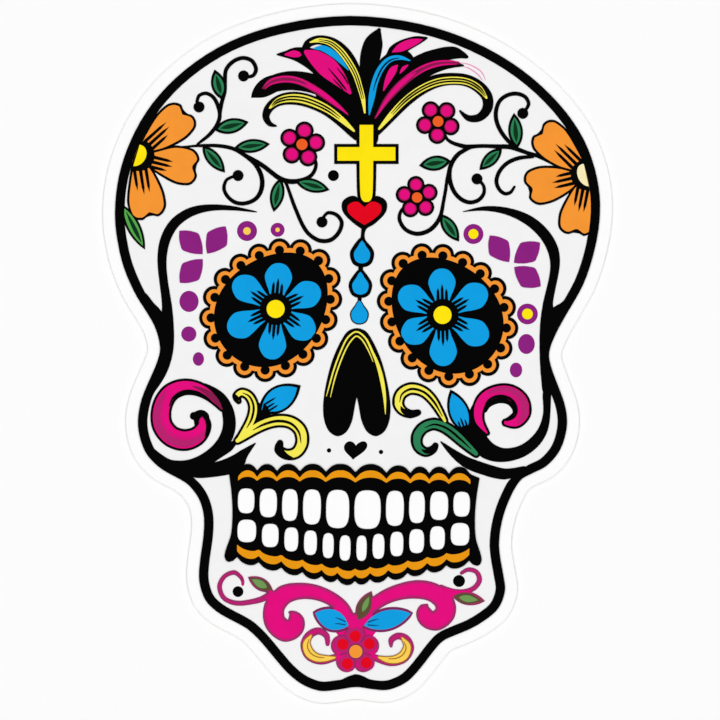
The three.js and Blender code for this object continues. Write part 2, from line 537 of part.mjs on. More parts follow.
const BITE = 89.2; // height of the upper teeth's edge at the corners
const BITE_SAG = 8.2;
const BITE_GAP = 3; // black between the two rows
const LOWER_ROOT = 75; // foot of the lower teeth at the corners
const ROOT_SAG = 9.8;
const UPPER_TEETH = [8.3, 8.7, 7.9, 9, 11.6, 13.2, 9, 7.9, 9.1, 8.3];
const LOWER_TEETH = [9.4, 8.4, 7, 6.5, 5.6, 5.6, 5.2, 6, 6.6, 7.5, 7.5, 9.4];
const FRAME_SIDE = [[4.6, -2], [3.3, -11], [2.6, -21.5], [3.2, -32], [5.6, -39.5], [6.2, -43.5],
  [4.6, -45.8], [1.8, -45.2]];
const sagged = (end, sag, x) => end - sag * (1 - Math.abs(x / MOUTH_HALF) ** SAG_SHAPE);

// A row of round scallops of given widths from left to right. The height is a function of x and of the
// rise from cusp to crown, which is fuller on a wide scallop.
function scallopEdge(widths, height) {
  const pitch = (2 * MOUTH_HALF) / widths.reduce((sum, width) => sum + width, 0);
  const mean = (2 * MOUTH_HALF) / widths.length;
  const spot = (x, rise) => new THREE.Vector2(x + MOUTH_X, height(x, rise));
  let start = -MOUTH_HALF;
  const edge = widths.flatMap((width) => {
    const from = start;
    start += width * pitch;
    return Array.from({ length: SCALLOP_STEPS }, (_, k) => {
      const share = k / SCALLOP_STEPS;
      const full = Math.sqrt((width * pitch) / mean);
      return spot(from + share * width * pitch, full * Math.sin(share * Math.PI) ** 0.7);
    });
  });
  return [...edge, spot(MOUTH_HALF, 0)];
}

const lowerLine = (x) => sagged(MOUTH_LOW, MOUTH_SAG, x);

function upperEdge(inset, flat = 1) {
  return scallopEdge(UPPER_SCALLOPS, (x, rise) => MOUTH_TOP + UPPER_RISE * rise * flat - inset);
}

function lowerEdge(inset, flat = 1) {
  return scallopEdge(LOWER_SCALLOPS, (x, rise) => lowerLine(x) - LOWER_RISE * rise * flat + inset);
}

// The whole mouth is turned a little about the middle of its upper edge.
const mouthMiddle = new THREE.Vector2(MOUTH_X, MOUTH_TOP);
const mouthTurn = THREE.MathUtils.degToRad(MOUTH_TILT);
const tilted = (outline) => outline.map((p) => p.clone().rotateAround(mouthMiddle, mouthTurn));

const gum = (edge, depth) =>
  tilted([...edge(MOUTH_EDGE), ...edge(MOUTH_EDGE + depth, GUM_FLAT).reverse()]);

function mouthFrame() {
  const [right, left] = [1, -1].map((side) => {
    const knots = FRAME_SIDE.map(([x, y]) => point([MOUTH_X + side * (MOUTH_HALF + x), MOUTH_TOP + y]));
    return new THREE.SplineCurve(knots).getPoints(knots.length * CURVE_STEPS);
  });
  return tilted([...upperEdge(0), ...right, ...lowerEdge(0).reverse(), ...left.reverse()]);
}

// One tooth: a box with well rounded corners between two heights. A TOOTH_ROUND of 1 is an oval.
const TOOTH_ROUND = 0.68;
function tooth(x, width, low, high) {
  const corner = (v) => Math.sign(v) * Math.abs(v) ** TOOTH_ROUND;
  return Array.from({ length: ROUND_STEPS }, (_, k) => {
    const angle = (k * 2 * Math.PI) / ROUND_STEPS;
    const across = (corner(Math.cos(angle)) * width) / 2;
    const up = (corner(Math.sin(angle)) * (high - low)) / 2;
    return new THREE.Vector2(x + MOUTH_X + across, (low + high) / 2 + up);
  });
}

// A row of teeth of given widths, spread evenly between the corners of the mouth.
function toothRow(widths, low, high) {
  const gap = (2 * MOUTH_HALF - widths.reduce((sum, width) => sum + width, 0)) / (widths.length - 1);
  let start = -MOUTH_HALF;
  return widths.map((width) => {
    const x = start + width / 2;
    start += width + gap;
    return tilted(tooth(x, width, low(x), high(x)));
  });
}

const biteLine = (x) => sagged(BITE, BITE_SAG, x);
const lowerRoot = (x) => sagged(LOWER_ROOT, ROOT_SAG, x);
const upperTeeth = toothRow(UPPER_TEETH, biteLine, () => MOUTH_TOP - UPPER_ROOT);
const lowerTeeth = toothRow(LOWER_TEETH, lowerRoot, (x) => biteLine(x) - BITE_GAP);

// The white film behind the teeth reaches past every window by TOOTH_LAP.
const TOOTH_LAP = 1;
function toothBacking() {
  const ends = MOUTH_HALF + TOOTH_LAP;
  const spots = Array.from({ length: 13 }, (_, k) => -ends + (k * ends) / 6);
  const lower = spots.map((x) => new THREE.Vector2(x + MOUTH_X, lowerRoot(x) - TOOTH_LAP));
  const top = MOUTH_TOP - UPPER_ROOT + TOOTH_LAP;
  const upper = [ends, -ends].map((x) => new THREE.Vector2(x + MOUTH_X, top));
  return tilted([...lower, ...upper]);
}

// Cheeks: a magenta spiral on each side, with curls, leaves and a frond between it and the nose.
const CHEEK_STROKES = {
  left_cheek_spiral: { colour: MAGENTA, lines: [[[-67, 141.5, 0.5], [-72, 147.5, 3.5],
    [-78.5, 151.5, 5], [-86, 152.5, 6], [-93, 149.5, 7], [-97, 142.5, 7.7], [-97, 134, 8.2],
    [-92.5, 128, 8.5], [-85.5, 126, 8.5], [-79, 128.5, 7.2], [-76, 134, 5], [-78, 137.5, 3.4],
    [-81, 138, 1.6]]] },
  left_cheek_curl: { colour: YELLOW, lines: [
    [[-59.2, 125.7, 1.5], [-55, 131, 3.3], [-52, 137, 3.5], [-51.2, 143, 3.3], [-53.5, 148, 3],
      [-57.2, 149.7, 2.6], [-59.7, 147.7, 2], [-58.7, 145.5, 0.8]],
    [[-59.2, 125.7, 2], [-54, 129.5, 3.6], [-48, 133, 4.2], [-40.5, 135.5, 4.4], [-33, 135, 4.6],
      [-28, 131, 4.8], [-27, 124.5, 4.6], [-30, 119.7, 4], [-35, 119, 3.2], [-38.5, 121.5, 2.4],
      [-38, 124.5, 0.8]]] },
  right_cheek_curl: { colour: YELLOW, lines: [[[44.5, 135.5, 1.2], [42, 140, 2], [39, 145, 3],
    [34, 150, 3.6], [27.5, 151.7, 4], [22.5, 149, 4], [21.2, 144, 3.6], [23.5, 140.5, 2.8],
    [27.5, 139, 1.8], [31, 139.7, 0.8]]] },
  right_cheek_frond: { colour: GREEN, lines: [[[60, 119.2, 2], [52.5, 126, 4], [45.5, 131.7, 4.2],
    [39, 134, 4], [33.5, 132, 4], [30.5, 127.5, 3.8], [31.2, 122.5, 3.2], [35, 120, 2.6],
    [38.7, 121.5, 1.6], [39.7, 123.2, 0.7]]] },
  right_cheek_spiral: { colour: MAGENTA, lines: [[[65.5, 129.5, 0.6], [61.5, 135.5, 3.5],
    [61.5, 142.5, 4.5], [65, 147.5, 5.2], [71, 150, 5.7], [77, 149.5, 6.5], [82, 145.5, 7],
    [83, 139.5, 6.7], [79.5, 135.2, 5], [75, 134.7, 2]]] },
};
const CHEEK_LEAVES = {
  left_cheek_leaf: { base: [-49, 140], tip: [-27.6, 153.3], width: 14 },
  right_cheek_leaf: { base: [55.8, 128.5], tip: [47.2, 151.3], width: 11.5 },
};

// Temples: three purple petals on each side, set round a bare middle at angles in degrees.
// A petal is a kite with full sides.
const TREFOIL_BARE = 1.8;
const TREFOIL_PETAL = 16.4;
const TREFOIL_WIDTH = 11.4;
const TREFOIL_SHOULDER = 8.7; // from the base of a petal to where it is widest
const TREFOIL_FULL = 1.5; // how far the sides swell out
const TREFOILS = {
  left_temple: { middle: [-75.4, 217.7], angles: { outer_petal: 135, inner_petal: 56, lower_petal: 226 } },
  right_temple: { middle: [77.6, 213.5], angles: { inner_petal: 126, outer_petal: 38, lower_petal: -36 } },
};

function trefoilPetal(middle, degrees) {
  const half = TREFOIL_WIDTH / 2;
  const [base, tip] = [[0, 0], [TREFOIL_PETAL, 0]].map(point);
  const [right, left] = [[TREFOIL_SHOULDER, -half], [TREFOIL_SHOULDER, half]].map(point);
  const corners = [base, right, tip, left];
  const outline = corners.flatMap((from, i) => {
    const to = corners[(i + 1) % corners.length];
    const along = to.clone().sub(from).normalize().multiplyScalar(TREFOIL_FULL);
    const swell = new THREE.Vector2((from.x + to.x) / 2 + along.y, (from.y + to.y) / 2 - along.x);
    return new THREE.QuadraticBezierCurve(from, swell, to).getPoints(CURVE_STEPS * 2).slice(0, -1);
  });
  const angle = THREE.MathUtils.degToRad(degrees);
  return outline.map(({ x, y }) => turned(x + TREFOIL_BARE, y, angle).add(point(middle)));
}

// Chin: a magenta scrollwork that spreads from a five-lobed flower, with two blue leaves laid on it.
const CHIN_LINES = [
  [[-2, 35, 5], [-6.5, 42, 6.6], [-13, 47, 7], [-21, 50, 7.6], [-29, 50.4, 8.4], [-36, 48.5, 9.8],
    [-40.8, 42.5, 10.4], [-40.4, 35, 10.8], [-35, 30.6, 11], [-30.2, 32.6, 9], [-29.2, 36.4, 6.2],
    [-31, 39, 3.4], [-33, 39.8, 1.6]],
  [[-42, 49, 4], [-47, 46.5, 3], [-53, 45, 2.6], [-60, 44.5, 2.4], [-66, 47, 2.3], [-68.2, 53, 2.3],
    [-65.5, 58, 2.2], [-60.5, 59.7, 2.2], [-57.2, 57, 1.8]],
  [[-6, 19, 3.4], [-11, 17.2, 3.4], [-17, 16, 4.5], [-23, 18.5, 5.5], [-25.2, 24, 5], [-23, 28.7, 4],
    [-18.5, 30.5, 3.5], [-14.7, 28, 3], [-14.2, 24, 2]],
  [[2, 35, 5], [6.5, 41.5, 6.6], [13.5, 46.8, 7.2], [21.5, 50, 8], [30.5, 51.3, 9.2], [38.5, 49.8, 9.6],
    [44.2, 45, 10.2], [44.4, 39.4, 10.4], [39.8, 35.6, 9.8], [34.8, 36.6, 7.8], [32.8, 39.8, 5.4],
    [33.8, 42.6, 3.4], [35.4, 43.4, 1.6]],
  [[42, 51.5, 4.5], [48, 50, 3.5], [54, 50, 2.8], [59, 52, 2.5], [61.7, 56, 2.5], [60.2, 60, 2.3],
    [56, 61.2, 2.1], [52.7, 59.5, 1.6]],
  [[5, 19, 3.4], [10.5, 16.8, 3.4], [17, 15, 4], [23.5, 17, 5], [26.5, 22, 5], [25, 26.5, 4],
    [21, 28, 3.3], [17.7, 26, 3], [17.5, 23, 1.5]],
  [[-0.5, 21, 8], [0, 36, 8]],
];
const CHIN_FLOWER = [-0.5, 21];
const CHIN_RING = 7;
const CHIN_LOBE = 5.4;
const CHIN_LOBES = 5;
const CHIN_EDGE = 0.6;
const CHIN_LEAVES = {
  chin_left_leaf: { base: [-2.8, 32.8], tip: [-21.4, 39.9], width: 11.7 },
  chin_right_leaf: { base: [3, 33], tip: [28.3, 39.6], width: 11 },
};
const CHIN_SHOOTS = [
  { base: [-41.5, 50.5], tip: [-54, 57.5], width: 6.8 },
  { base: [48, 48], tip: [64.5, 45.5], width: 7 },
  { base: [0.6, 35], tip: [7.8, 50.5], width: 8.2 },
];

// Join the black key line: contour, brows, cheeks, vines and a backing under every colour piece
// that grows on them.
const buds = VINES.filter(({ bud }) => bud).map(({ bud }) => disc(bud, BUD));
const stems = VINES.map(({ stem }) => ribbon(stem));
const cheekLines = Object.values(CHEEK_STROKES).flatMap(({ lines }) => lines);
const strokeBackings = cheekLines.map((line) => ribbon(line, OUTLINE));
const outlinedLeaves = [...Object.values(LEAVES), TEMPLE_LEAF, ...Object.values(CHEEK_LEAVES)];
const leafBackings = outlinedLeaves.map((shape) => leaf(shape));
const petalBackings = Object.values(MARIGOLDS).flatMap((flower) => marigoldPetals(flower, OUTLINE));
const hubBackings = Object.values(MARIGOLDS).map(({ hub }) => disc(hub, MARIGOLD_HUB + OUTLINE));
const faceOpening = sheet(opening);
const ornament = joined([
  sheets([...BROW_LINES, ...CHEEK_LINES].map((line) => ribbon(line))),
  sheets([...stems, ...buds, ...strokeBackings, ...leafBackings, ...petalBackings, ...hubBackings]),
  ...Object.values(BLOSSOMS).map((flower) => blossom(flower, OUTLINE)),
]);
const contourBand = sheet(skull).subtract(faceOpening);
const templeLeaf = sheet(leaf(TEMPLE_LEAF, OUTLINE)).intersect(faceOpening);
const keyLine = contourBand.add(ornament.intersect(sheet(skull)));

// Join the crest with the backings of the cross, the heart and the drops.
const dropBackings = Object.entries(DROPS).map(([name, [x, y]]) => {
  const edge = DROP_EDGES[name];
  return drop([x, y], DROP_WIDTH + 2 * edge, DROP_HEIGHT + 2 * edge);
});
const DROP_LINK = [[4.2, 234, 2.4], [3, 224, 2.4], [2.2, 208, 2.4], [1.8, 196, 2]];
const crestKey = sheets([
  ...CREST_FEATHERS.map((line) => ribbon(line)),
  cross(CROSS_EDGE),
  heart(HEART_AT, HEART_WIDTH + 2 * HEART_EDGE, HEART_HEIGHT + 2 * HEART_EDGE),
  ribbon(DROP_LINK),
  ...dropBackings,
]);
const heartFilm = sheet(heart(HEART_AT, HEART_WIDTH, HEART_HEIGHT));
const heartBacking = sheet(heart(HEART_AT, HEART_WIDTH + 2 * OUTLINE, HEART_HEIGHT + 2 * OUTLINE));

const noseLeft = NOSE_HALF.slice(1).reverse().map(([x, y]) => [-x, y]);
const nose = loop([...NOSE_HALF, NOSE_SLIT, ...noseLeft].map(([x, y]) => [x + NOSE_X, y]));

const chinTrim = sheet(grown(skull, -CONTOUR - FIT));
const chinLobes = ringOf(CHIN_LOBES, CHIN_FLOWER, CHIN_RING, 90).map((spot) => disc(spot, CHIN_LOBE));
const chinLeafBackings = [...Object.values(CHIN_LEAVES), ...CHIN_SHOOTS].map((shape) => leaf(shape));
const chinScroll = sheets([...CHIN_LINES.map((line) => ribbon(line)), ...chinLobes, ...chinLeafBackings]);

const mouthKey = sheet(mouthFrame()).subtract(sheets([...upperTeeth, ...lowerTeeth]));

// Split the liner along a slit below the nose, so that each half can be peeled on its own.
const outside = new THREE.Box2().setFromPoints(border).expandByScalar(BORDER);
function linerHalf(side) {
  const far = side < 0 ? outside.min.x : outside.max.x;
  const near = (side * LINER_SLIT) / 2;
  const box = [[near, outside.min.y], [far, outside.min.y], [far, outside.max.y], [near, outside.max.y]];
  return sheet(border).intersect(sheet(box.map(point)));
}

// Assemble the liner and the decal.
const liner = new THREE.Group();
liner.name = 'liner';
liner.add(
  piece('liner_left', linerHalf(-1), LAYERS.liner, PAPER),
  piece('liner_right', linerHalf(1), LAYERS.liner, PAPER),
);

const decal = new THREE.Group();
decal.name = 'decal';
decal.add(
  piece('adhesive_layer', sheet(border), LAYERS.adhesive, GLUE),
  piece('carrier_film', sheet(border), LAYERS.carrier, WHITE),
  piece('face_film', sheet(grown(skull, -FACE_LAP)), LAYERS.face, FACE_WHITE),
  piece('key_line', keyLine, LAYERS.key, BLACK),
  piece('crest_key', crestKey, LAYERS.key, BLACK),
  piece('nose', sheet(nose), LAYERS.key, BLACK),
  piece('teeth_film', sheet(toothBacking()), LAYERS.key, WHITE),
  piece('mouth_key', mouthKey, LAYERS.colour, BLACK),
  piece('upper_gum', sheet(gum(upperEdge, UPPER_GUM)), LAYERS.detail, ORANGE),
  piece('lower_gum', sheet(gum(lowerEdge, LOWER_GUM)), LAYERS.detail, ORANGE),
  piece('forehead_cross', sheet(cross()).subtract(heartBacking), LAYERS.colour, YELLOW),
  piece('forehead_heart', heartFilm, LAYERS.colour, RED),
  piece('chin_scroll', chinScroll.intersect(chinTrim), LAYERS.key, MAGENTA),
  piece('temple_leaf', templeLeaf, LAYERS.colour, SPRING_GREEN),
);
for (const [side, eye] of Object.entries(EYES)) {
  decal.add(
    piece(`${side}_eye_socket`, eyeSocket(eye), LAYERS.key, BLACK),
    piece(`${side}_eye_rim`, eyeRim(eye), LAYERS.colour, ORANGE),
    piece(`${side}_eye_flower`, eyeFlower(eye), LAYERS.colour, BLUE),
    piece(`${side}_eye_centre`, sheet(disc(flowerAt(eye), EYE_CENTRE)), LAYERS.detail, YELLOW),
  );
}
for (const [side, flower] of Object.entries(MARIGOLDS)) {
  const petals = sheets(marigoldPetals(flower)).subtract(sheets(marigoldPartings(flower)));
  const bloom = petals.add(sheet(disc(flower.hub, MARIGOLD_HUB))).intersect(faceOpening);
  decal.add(piece(`${side}_marigold`, bloom, LAYERS.colour, ORANGE));
}
for (const [name, flower] of Object.entries(BLOSSOMS)) {
  decal.add(piece(name, blossom(flower), LAYERS.colour, MAGENTA));
}
for (const [name, shape] of Object.entries(LEAVES)) {
  decal.add(piece(name, sheet(leaf(shape, OUTLINE)), LAYERS.colour, GREEN));
}
for (const [name, at] of Object.entries(DROPS)) {
  decal.add(piece(name, sheet(drop(at, DROP_WIDTH, DROP_HEIGHT)), LAYERS.colour, BLUE));
}
for (const [name, { colour, line }] of Object.entries(CREST_STREAKS)) {
  decal.add(piece(name, sheet(ribbon(line)), LAYERS.colour, colour));
}
for (const [name, { colour, lines }] of Object.entries(CHEEK_STROKES)) {
  decal.add(piece(name, sheets(lines.map((line) => ribbon(line))), LAYERS.colour, colour));
}
for (const [name, shape] of Object.entries(CHEEK_LEAVES)) {
  decal.add(piece(name, sheet(leaf(shape, OUTLINE)), LAYERS.colour, BLUE));
}
for (const [name, shape] of Object.entries(CHIN_LEAVES)) {
  decal.add(piece(name, sheet(leaf(shape, CHIN_EDGE)), LAYERS.colour, BLUE));
}
for (const [side, { middle, angles }] of Object.entries(TREFOILS)) {
  for (const [name, degrees] of Object.entries(angles)) {
    decal.add(piece(`${side}_${name}`, sheet(trefoilPetal(middle, degrees)), LAYERS.key, PURPLE));
  }
}

// Centre the silhouette on the origin.
const extent = new THREE.Box2().setFromPoints(border);
const middle = extent.getCenter(new THREE.Vector2());
const part = new THREE.Group();
part.name = 'sugar_skull_decal';
part.add(liner, decal);
part.position.set(-middle.x, -middle.y, 0);
part.updateMatrixWorld(true);

export default part;
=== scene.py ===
# %% [markdown]
# # A sugar skull decal
# A flat calavera for a wall or a window. It is a stack of thin sheets: a split paper liner, adhesive,
# a white carrier film, a pale face film, and on top of that black and coloured films, each cut to shape.
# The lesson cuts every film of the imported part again, along the same line with a smoother edge, and then
# lays the smallest inks on top.

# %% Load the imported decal
import json
import math

import bmesh
import bpy
import numpy as np
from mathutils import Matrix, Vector


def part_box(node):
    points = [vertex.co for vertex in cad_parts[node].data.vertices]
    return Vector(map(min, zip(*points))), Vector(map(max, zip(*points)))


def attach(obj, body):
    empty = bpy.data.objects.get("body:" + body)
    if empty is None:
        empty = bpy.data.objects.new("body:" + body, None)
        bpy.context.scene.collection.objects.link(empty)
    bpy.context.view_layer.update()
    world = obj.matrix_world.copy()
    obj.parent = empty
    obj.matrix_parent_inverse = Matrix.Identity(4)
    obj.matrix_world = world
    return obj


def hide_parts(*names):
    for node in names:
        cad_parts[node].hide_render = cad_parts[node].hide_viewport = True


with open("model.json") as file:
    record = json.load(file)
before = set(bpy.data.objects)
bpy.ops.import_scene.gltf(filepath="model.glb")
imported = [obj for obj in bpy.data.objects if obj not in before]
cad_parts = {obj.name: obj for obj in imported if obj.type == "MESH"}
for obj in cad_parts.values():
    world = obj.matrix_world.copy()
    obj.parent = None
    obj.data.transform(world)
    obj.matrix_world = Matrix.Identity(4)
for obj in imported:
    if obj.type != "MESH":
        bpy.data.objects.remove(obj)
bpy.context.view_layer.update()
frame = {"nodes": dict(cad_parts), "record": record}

# %% [markdown]
# ## Where things are
# Everything on the face was laid out in millimetres from the nose (x) and the chin (y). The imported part
# has its origin in the middle of the silhouette, so the offset between the two is read off an eye's
# yellow centre, whose place in the layout is known. The layers' heights are read off the nodes as well.

# %% Find the layout's offset and the layers' heights
MM = 0.001
LEFT_EYE = (-40.15, 191.5)
RIGHT_EYE = (43.25, 188.5)


def top_of(node):
    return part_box(node)[1][2] / MM


low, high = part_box("left_eye_centre")
yellow = (Vector(low) + Vector(high)) / 2 / MM
SHIFT = np.array([yellow.x - LEFT_EYE[0], yellow.y - LEFT_EYE[1]])
ON_FACE = top_of("face_film")
ON_KEY = top_of("key_line")
ON_COLOUR = top_of("forehead_cross")
INK = 0.1  # thickness of a small ink film
print("offset", SHIFT.round(2), "heights", round(ON_FACE, 2), round(ON_KEY, 2), round(ON_COLOUR, 2))

# %% [markdown]
# ## Reading a cut line back from a solid
# The upper face of a film is a fan of triangles. An edge that belongs to only one of them lies on the
# cut line, so those edges are collected and chained into closed loops: one outer loop, and one for
# each window in the film.

# %% Collect the loops round a film's upper face
LEVEL = 0.01  # a corner this near the top belongs to the upper face


def cut_lines(node):
    mesh = frame["nodes"][node].data
    spots = np.array([v.co for v in mesh.vertices]) / MM
    top = spots[:, 2].max() - LEVEL
    after = {}
    for face in mesh.polygons:
        corners = [tuple(spots[v].round(3)) for v in face.vertices]
        if min(corner[2] for corner in corners) < top:
            continue
        for a, b in zip(corners, corners[1:] + corners[:1]):
            if after.get(b[:2]) and a[:2] in after[b[:2]]:
                after[b[:2]].discard(a[:2])
            else:
                after.setdefault(a[:2], set()).add(b[:2])
    loops = []
    while any(after.values()):
        start = next(spot for spot, ends in after.items() if ends)
        line, spot = [], start
        while after.get(spot):
            line.append(spot)
            spot = after[spot].pop()
        loops.append(np.array(line))
    return loops


print("the nose has", [len(line) for line in cut_lines("nose")], "points")

# %% [markdown]
# ## A smooth curve between points
# A knife moves smoothly, so a curve is drawn through the points. The spline between two points also
# looks at the one before and the one after. Its centripetal form goes by the root of each distance,
# which keeps it from looping where points lie close.

# %% Draw one span of a spline
TOUCH = 1e-6  # least distance that counts between two points


def spline(a, b, c, d, steps):
    t0 = 0.0
    gaps = [max(np.linalg.norm(q - p), TOUCH) for p, q in ((a, b), (b, c), (c, d))]
    t1, t2, t3 = np.cumsum([gap ** 0.5 for gap in gaps])
    t = np.linspace(t1, t2, steps + 1)[:-1, None]
    ab = ((t1 - t) * a + (t - t0) * b) / (t1 - t0)
    bc = ((t2 - t) * b + (t - t1) * c) / (t2 - t1)
    cd = ((t3 - t) * c + (t - t2) * d) / (t3 - t2)
    abc = ((t2 - t) * ab + (t - t0) * bc) / (t2 - t0)
    bcd = ((t3 - t) * bc + (t - t1) * cd) / (t3 - t1)
    return ((t2 - t) * abc + (t - t1) * bcd) / (t2 - t1)


print("a span in 6 steps has", len(spline(*np.array([(0, 0), (1, 0), (2, 1), (2, 2)]), 6)), "points")

# %% [markdown]
# ## Rounding a cut line
# The solids are faceted, which is right for collision but shows as flats on a curve. So each loop is
# redrawn as a spline through its own points. Where the line turns sharply it is a real corner, such as
# a leaf's tip or the cusp between two scallops, and the spline stops there and starts afresh.

# %% Redraw a loop as a spline that keeps its corners
CORNER = math.radians(50)
FINE_TURN = math.radians(5)
SHORT_STEP = 0.2


def turns_of(line):
    before = line - np.roll(line, 1, 0)
    after = np.roll(line, -1, 0) - line
    cross = before[:, 0] * after[:, 1] - before[:, 1] * after[:, 0]
    return np.abs(np.arctan2(cross, (before * after).sum(1)))


def rounded(line):
    turns = turns_of(line)
    sharp = turns > CORNER
    count = len(line)
    drawn = []
    for i in range(count):
        j = (i + 1) % count
        b, c = line[i], line[j]
        a = 2 * b - c if sharp[i] else line[i - 1]
        d = 2 * c - b if sharp[j] else line[(j + 1) % count]
        bend = max(0 if sharp[i] else turns[i], 0 if sharp[j] else turns[j])
        most = max(1, np.linalg.norm(c - b) / SHORT_STEP)
        steps = int(min(math.ceil(bend / FINE_TURN), most))
        drawn.append(spline(a, b, c, d, max(steps, 1)))
    return np.concatenate(drawn)


print("the nose is redrawn with", [len(rounded(line)) for line in cut_lines("nose")], "points")

# %% [markdown]
# ## Cutting a film
# A two-dimensional curve in Blender fills itself and leaves nested loops open, which is just what a
# knife does. Extruding it gives the film its thickness. The curve is then turned into a mesh and its
# seams are welded, so that each film is one closed body.

# %% Turn loops into a closed sheet
WELD = 1e-7


def added(name, data):
    thing = bpy.data.objects.new(name, data)
    bpy.context.collection.objects.link(thing)
    return thing


def sheet(name, loops, low, high):
    curve = bpy.data.curves.new(name, "CURVE")
    curve.dimensions = "2D"
    curve.fill_mode = "BOTH"
    curve.extrude = (high - low) / 2 * MM
    for line in loops:
        path = curve.splines.new("POLY")
        path.points.add(len(line) - 1)
        spots = np.c_[line * MM, np.zeros(len(line)), np.ones(len(line))]
        path.points.foreach_set("co", spots.ravel())
        path.use_cyclic_u = True
    draft = added(name, curve)
    mesh = bpy.data.meshes.new_from_object(draft.evaluated_get(bpy.context.evaluated_depsgraph_get()))
    bpy.data.objects.remove(draft)
    weld = bmesh.new()
    weld.from_mesh(mesh)
    bmesh.ops.remove_doubles(weld, verts=weld.verts, dist=WELD)
    bmesh.ops.translate(weld, verts=weld.verts, vec=(0, 0, (low + high) / 2 * MM))
    bmesh.ops.recalc_face_normals(weld, faces=weld.faces)
    weld.to_mesh(mesh)
    weld.free()
    mesh.name = name
    return mesh


print("a sheet of", len(rounded(cut_lines("nose")[0])), "points can be cut now")

# %% [markdown]
# ## A film as a piece of the part
# A film carries one finish. It rides on a body of the part, so that it moves with it. Its faces are shaded
# smooth and its knife edges stay sharp.

# %% Dress a sheet as a film
films = {}


def film(name, loops, low, high, finish, body="decal"):
    mesh = sheet(name, loops, low, high)
    mesh.materials.clear()
    mesh.materials.append(finish)
    mesh.shade_smooth()
    mesh.set_sharp_from_angle(angle=CORNER)
    piece = added(name, mesh)
    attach(piece, body)
    films[name] = piece
    return piece


print(len(films), "films so far")

# %% [markdown]
# ## Film, paper and adhesive
# Coloured decal film is satin vinyl: one even colour right through, a fine orange-peel surface and a
# knife-cut edge that looks a little paler where the blade has rubbed it. Two node groups hold what every
# film shares, the grain and the tint, and each finish sets its own values in them.

# %% Write helpers for nodes and node groups
FLOAT, COLOUR = "NodeSocketFloat", "NodeSocketColor"


def group(name, inputs, outputs):
    made = bpy.data.node_groups.new(name, "ShaderNodeTree")
    for label, kind, value in inputs:
        socket = made.interface.new_socket(label, in_out="INPUT", socket_type=kind)
        socket.default_value = value
    for label, kind in outputs:
        made.interface.new_socket(label, in_out="OUTPUT", socket_type=kind)
    return made, made.nodes.new("NodeGroupInput"), made.nodes.new("NodeGroupOutput")


def node(tree, kind, links=(), **values):
    made = tree.nodes.new(kind)
    for label, value in values.items():
        if hasattr(made, label):
            setattr(made, label, value)
        else:
            made.inputs[label.replace("_", " ")].default_value = value
    for label, source in dict(links).items():
        tree.links.new(source, made.inputs[label])
    return made


print(len(bpy.data.node_groups), "node groups so far")

# %% [markdown]
# ## The grain
# Orange peel is a fine, shallow noise in the surface, and the shine drifts a little over a thumb's
# width. One noise gives the height for a bump, and a broader one swings the roughness.

# %% Build the grain as a node group
film_grain, given, put = group(
    "film_grain",
    [("Pitch", FLOAT, 900.0), ("Roughness", FLOAT, 0.36), ("Spread", FLOAT, 0.1)],
    [("Height", FLOAT), ("Roughness", FLOAT)],
)
place = node(film_grain, "ShaderNodeTexCoord")
peel = node(film_grain, "ShaderNodeTexNoise", {
    "Vector": place.outputs["Object"], "Scale": given.outputs["Pitch"]}, Detail=3.0, Roughness=0.55)
broad = node(film_grain, "ShaderNodeTexNoise", {"Vector": place.outputs["Object"]}, Scale=45.0, Detail=2.0)
swing = node(film_grain, "ShaderNodeMath", {0: broad.outputs["Fac"]}, operation="SUBTRACT")
swing.inputs[1].default_value = 0.5
spread = node(film_grain, "ShaderNodeMath", {
    0: swing.outputs[0], 1: given.outputs["Spread"], 2: given.outputs["Roughness"]},
    operation="MULTIPLY_ADD")
film_grain.links.new(peel.outputs["Fac"], put.inputs["Height"])
film_grain.links.new(spread.outputs[0], put.inputs["Roughness"])
print("group", film_grain.name, "has", len(film_grain.nodes), "nodes")

# %% [markdown]
# ## The tint
# No sheet of vinyl is perfectly even, so a cloudy noise mixes the ink with a deeper shade of itself. Faces
# that stand upright are the knife's edge, and take the paler edge colour.

# %% Build the tint as a node group
film_tint, given, put = group(
    "film_tint",
    [("Tint", COLOUR, (0.5, 0.5, 0.5, 1)), ("Shade", COLOUR, (0.4, 0.4, 0.4, 1)),
     ("Edge", COLOUR, (0.6, 0.6, 0.6, 1))],
    [("Color", COLOUR)],
)
place = node(film_tint, "ShaderNodeTexCoord")
cloud = node(film_tint, "ShaderNodeTexNoise", {"Vector": place.outputs["Object"]}, Scale=120.0, Detail=4.0)
patch = node(film_tint, "ShaderNodeMapRange", {"Value": cloud.outputs["Fac"]}, From_Min=0.42, From_Max=0.78)
clouded = node(film_tint, "ShaderNodeMix", {
    "Factor": patch.outputs[0], 6: given.outputs["Tint"], 7: given.outputs["Shade"]}, data_type="RGBA")
facing = node(film_tint, "ShaderNodeSeparateXYZ", {0: place.outputs["Normal"]})
level = node(film_tint, "ShaderNodeMath", {0: facing.outputs["Z"]}, operation="ABSOLUTE")
upright = node(film_tint, "ShaderNodeMapRange", {"Value": level.outputs[0]}, From_Min=0.5, From_Max=0.2)
edged = node(film_tint, "ShaderNodeMix", {
    "Factor": upright.outputs[0], 6: clouded.outputs[2], 7: given.outputs["Edge"]}, data_type="RGBA")
film_tint.links.new(edged.outputs[2], put.inputs["Color"])
print("group", film_tint.name, "has", len(film_tint.nodes), "nodes")

# %% [markdown]
# ## The film finishes
# Colours are written as the eye names them on a screen and turned into linear light. The shade is the
# same ink a little deeper, and the edge is a little paler.

# %% Write a recipe for a film finish
PEEL, PEEL_DEPTH = 0.1, 0.0003
EDGE_KEEP, EDGE_LIFT = 0.85, 0.06


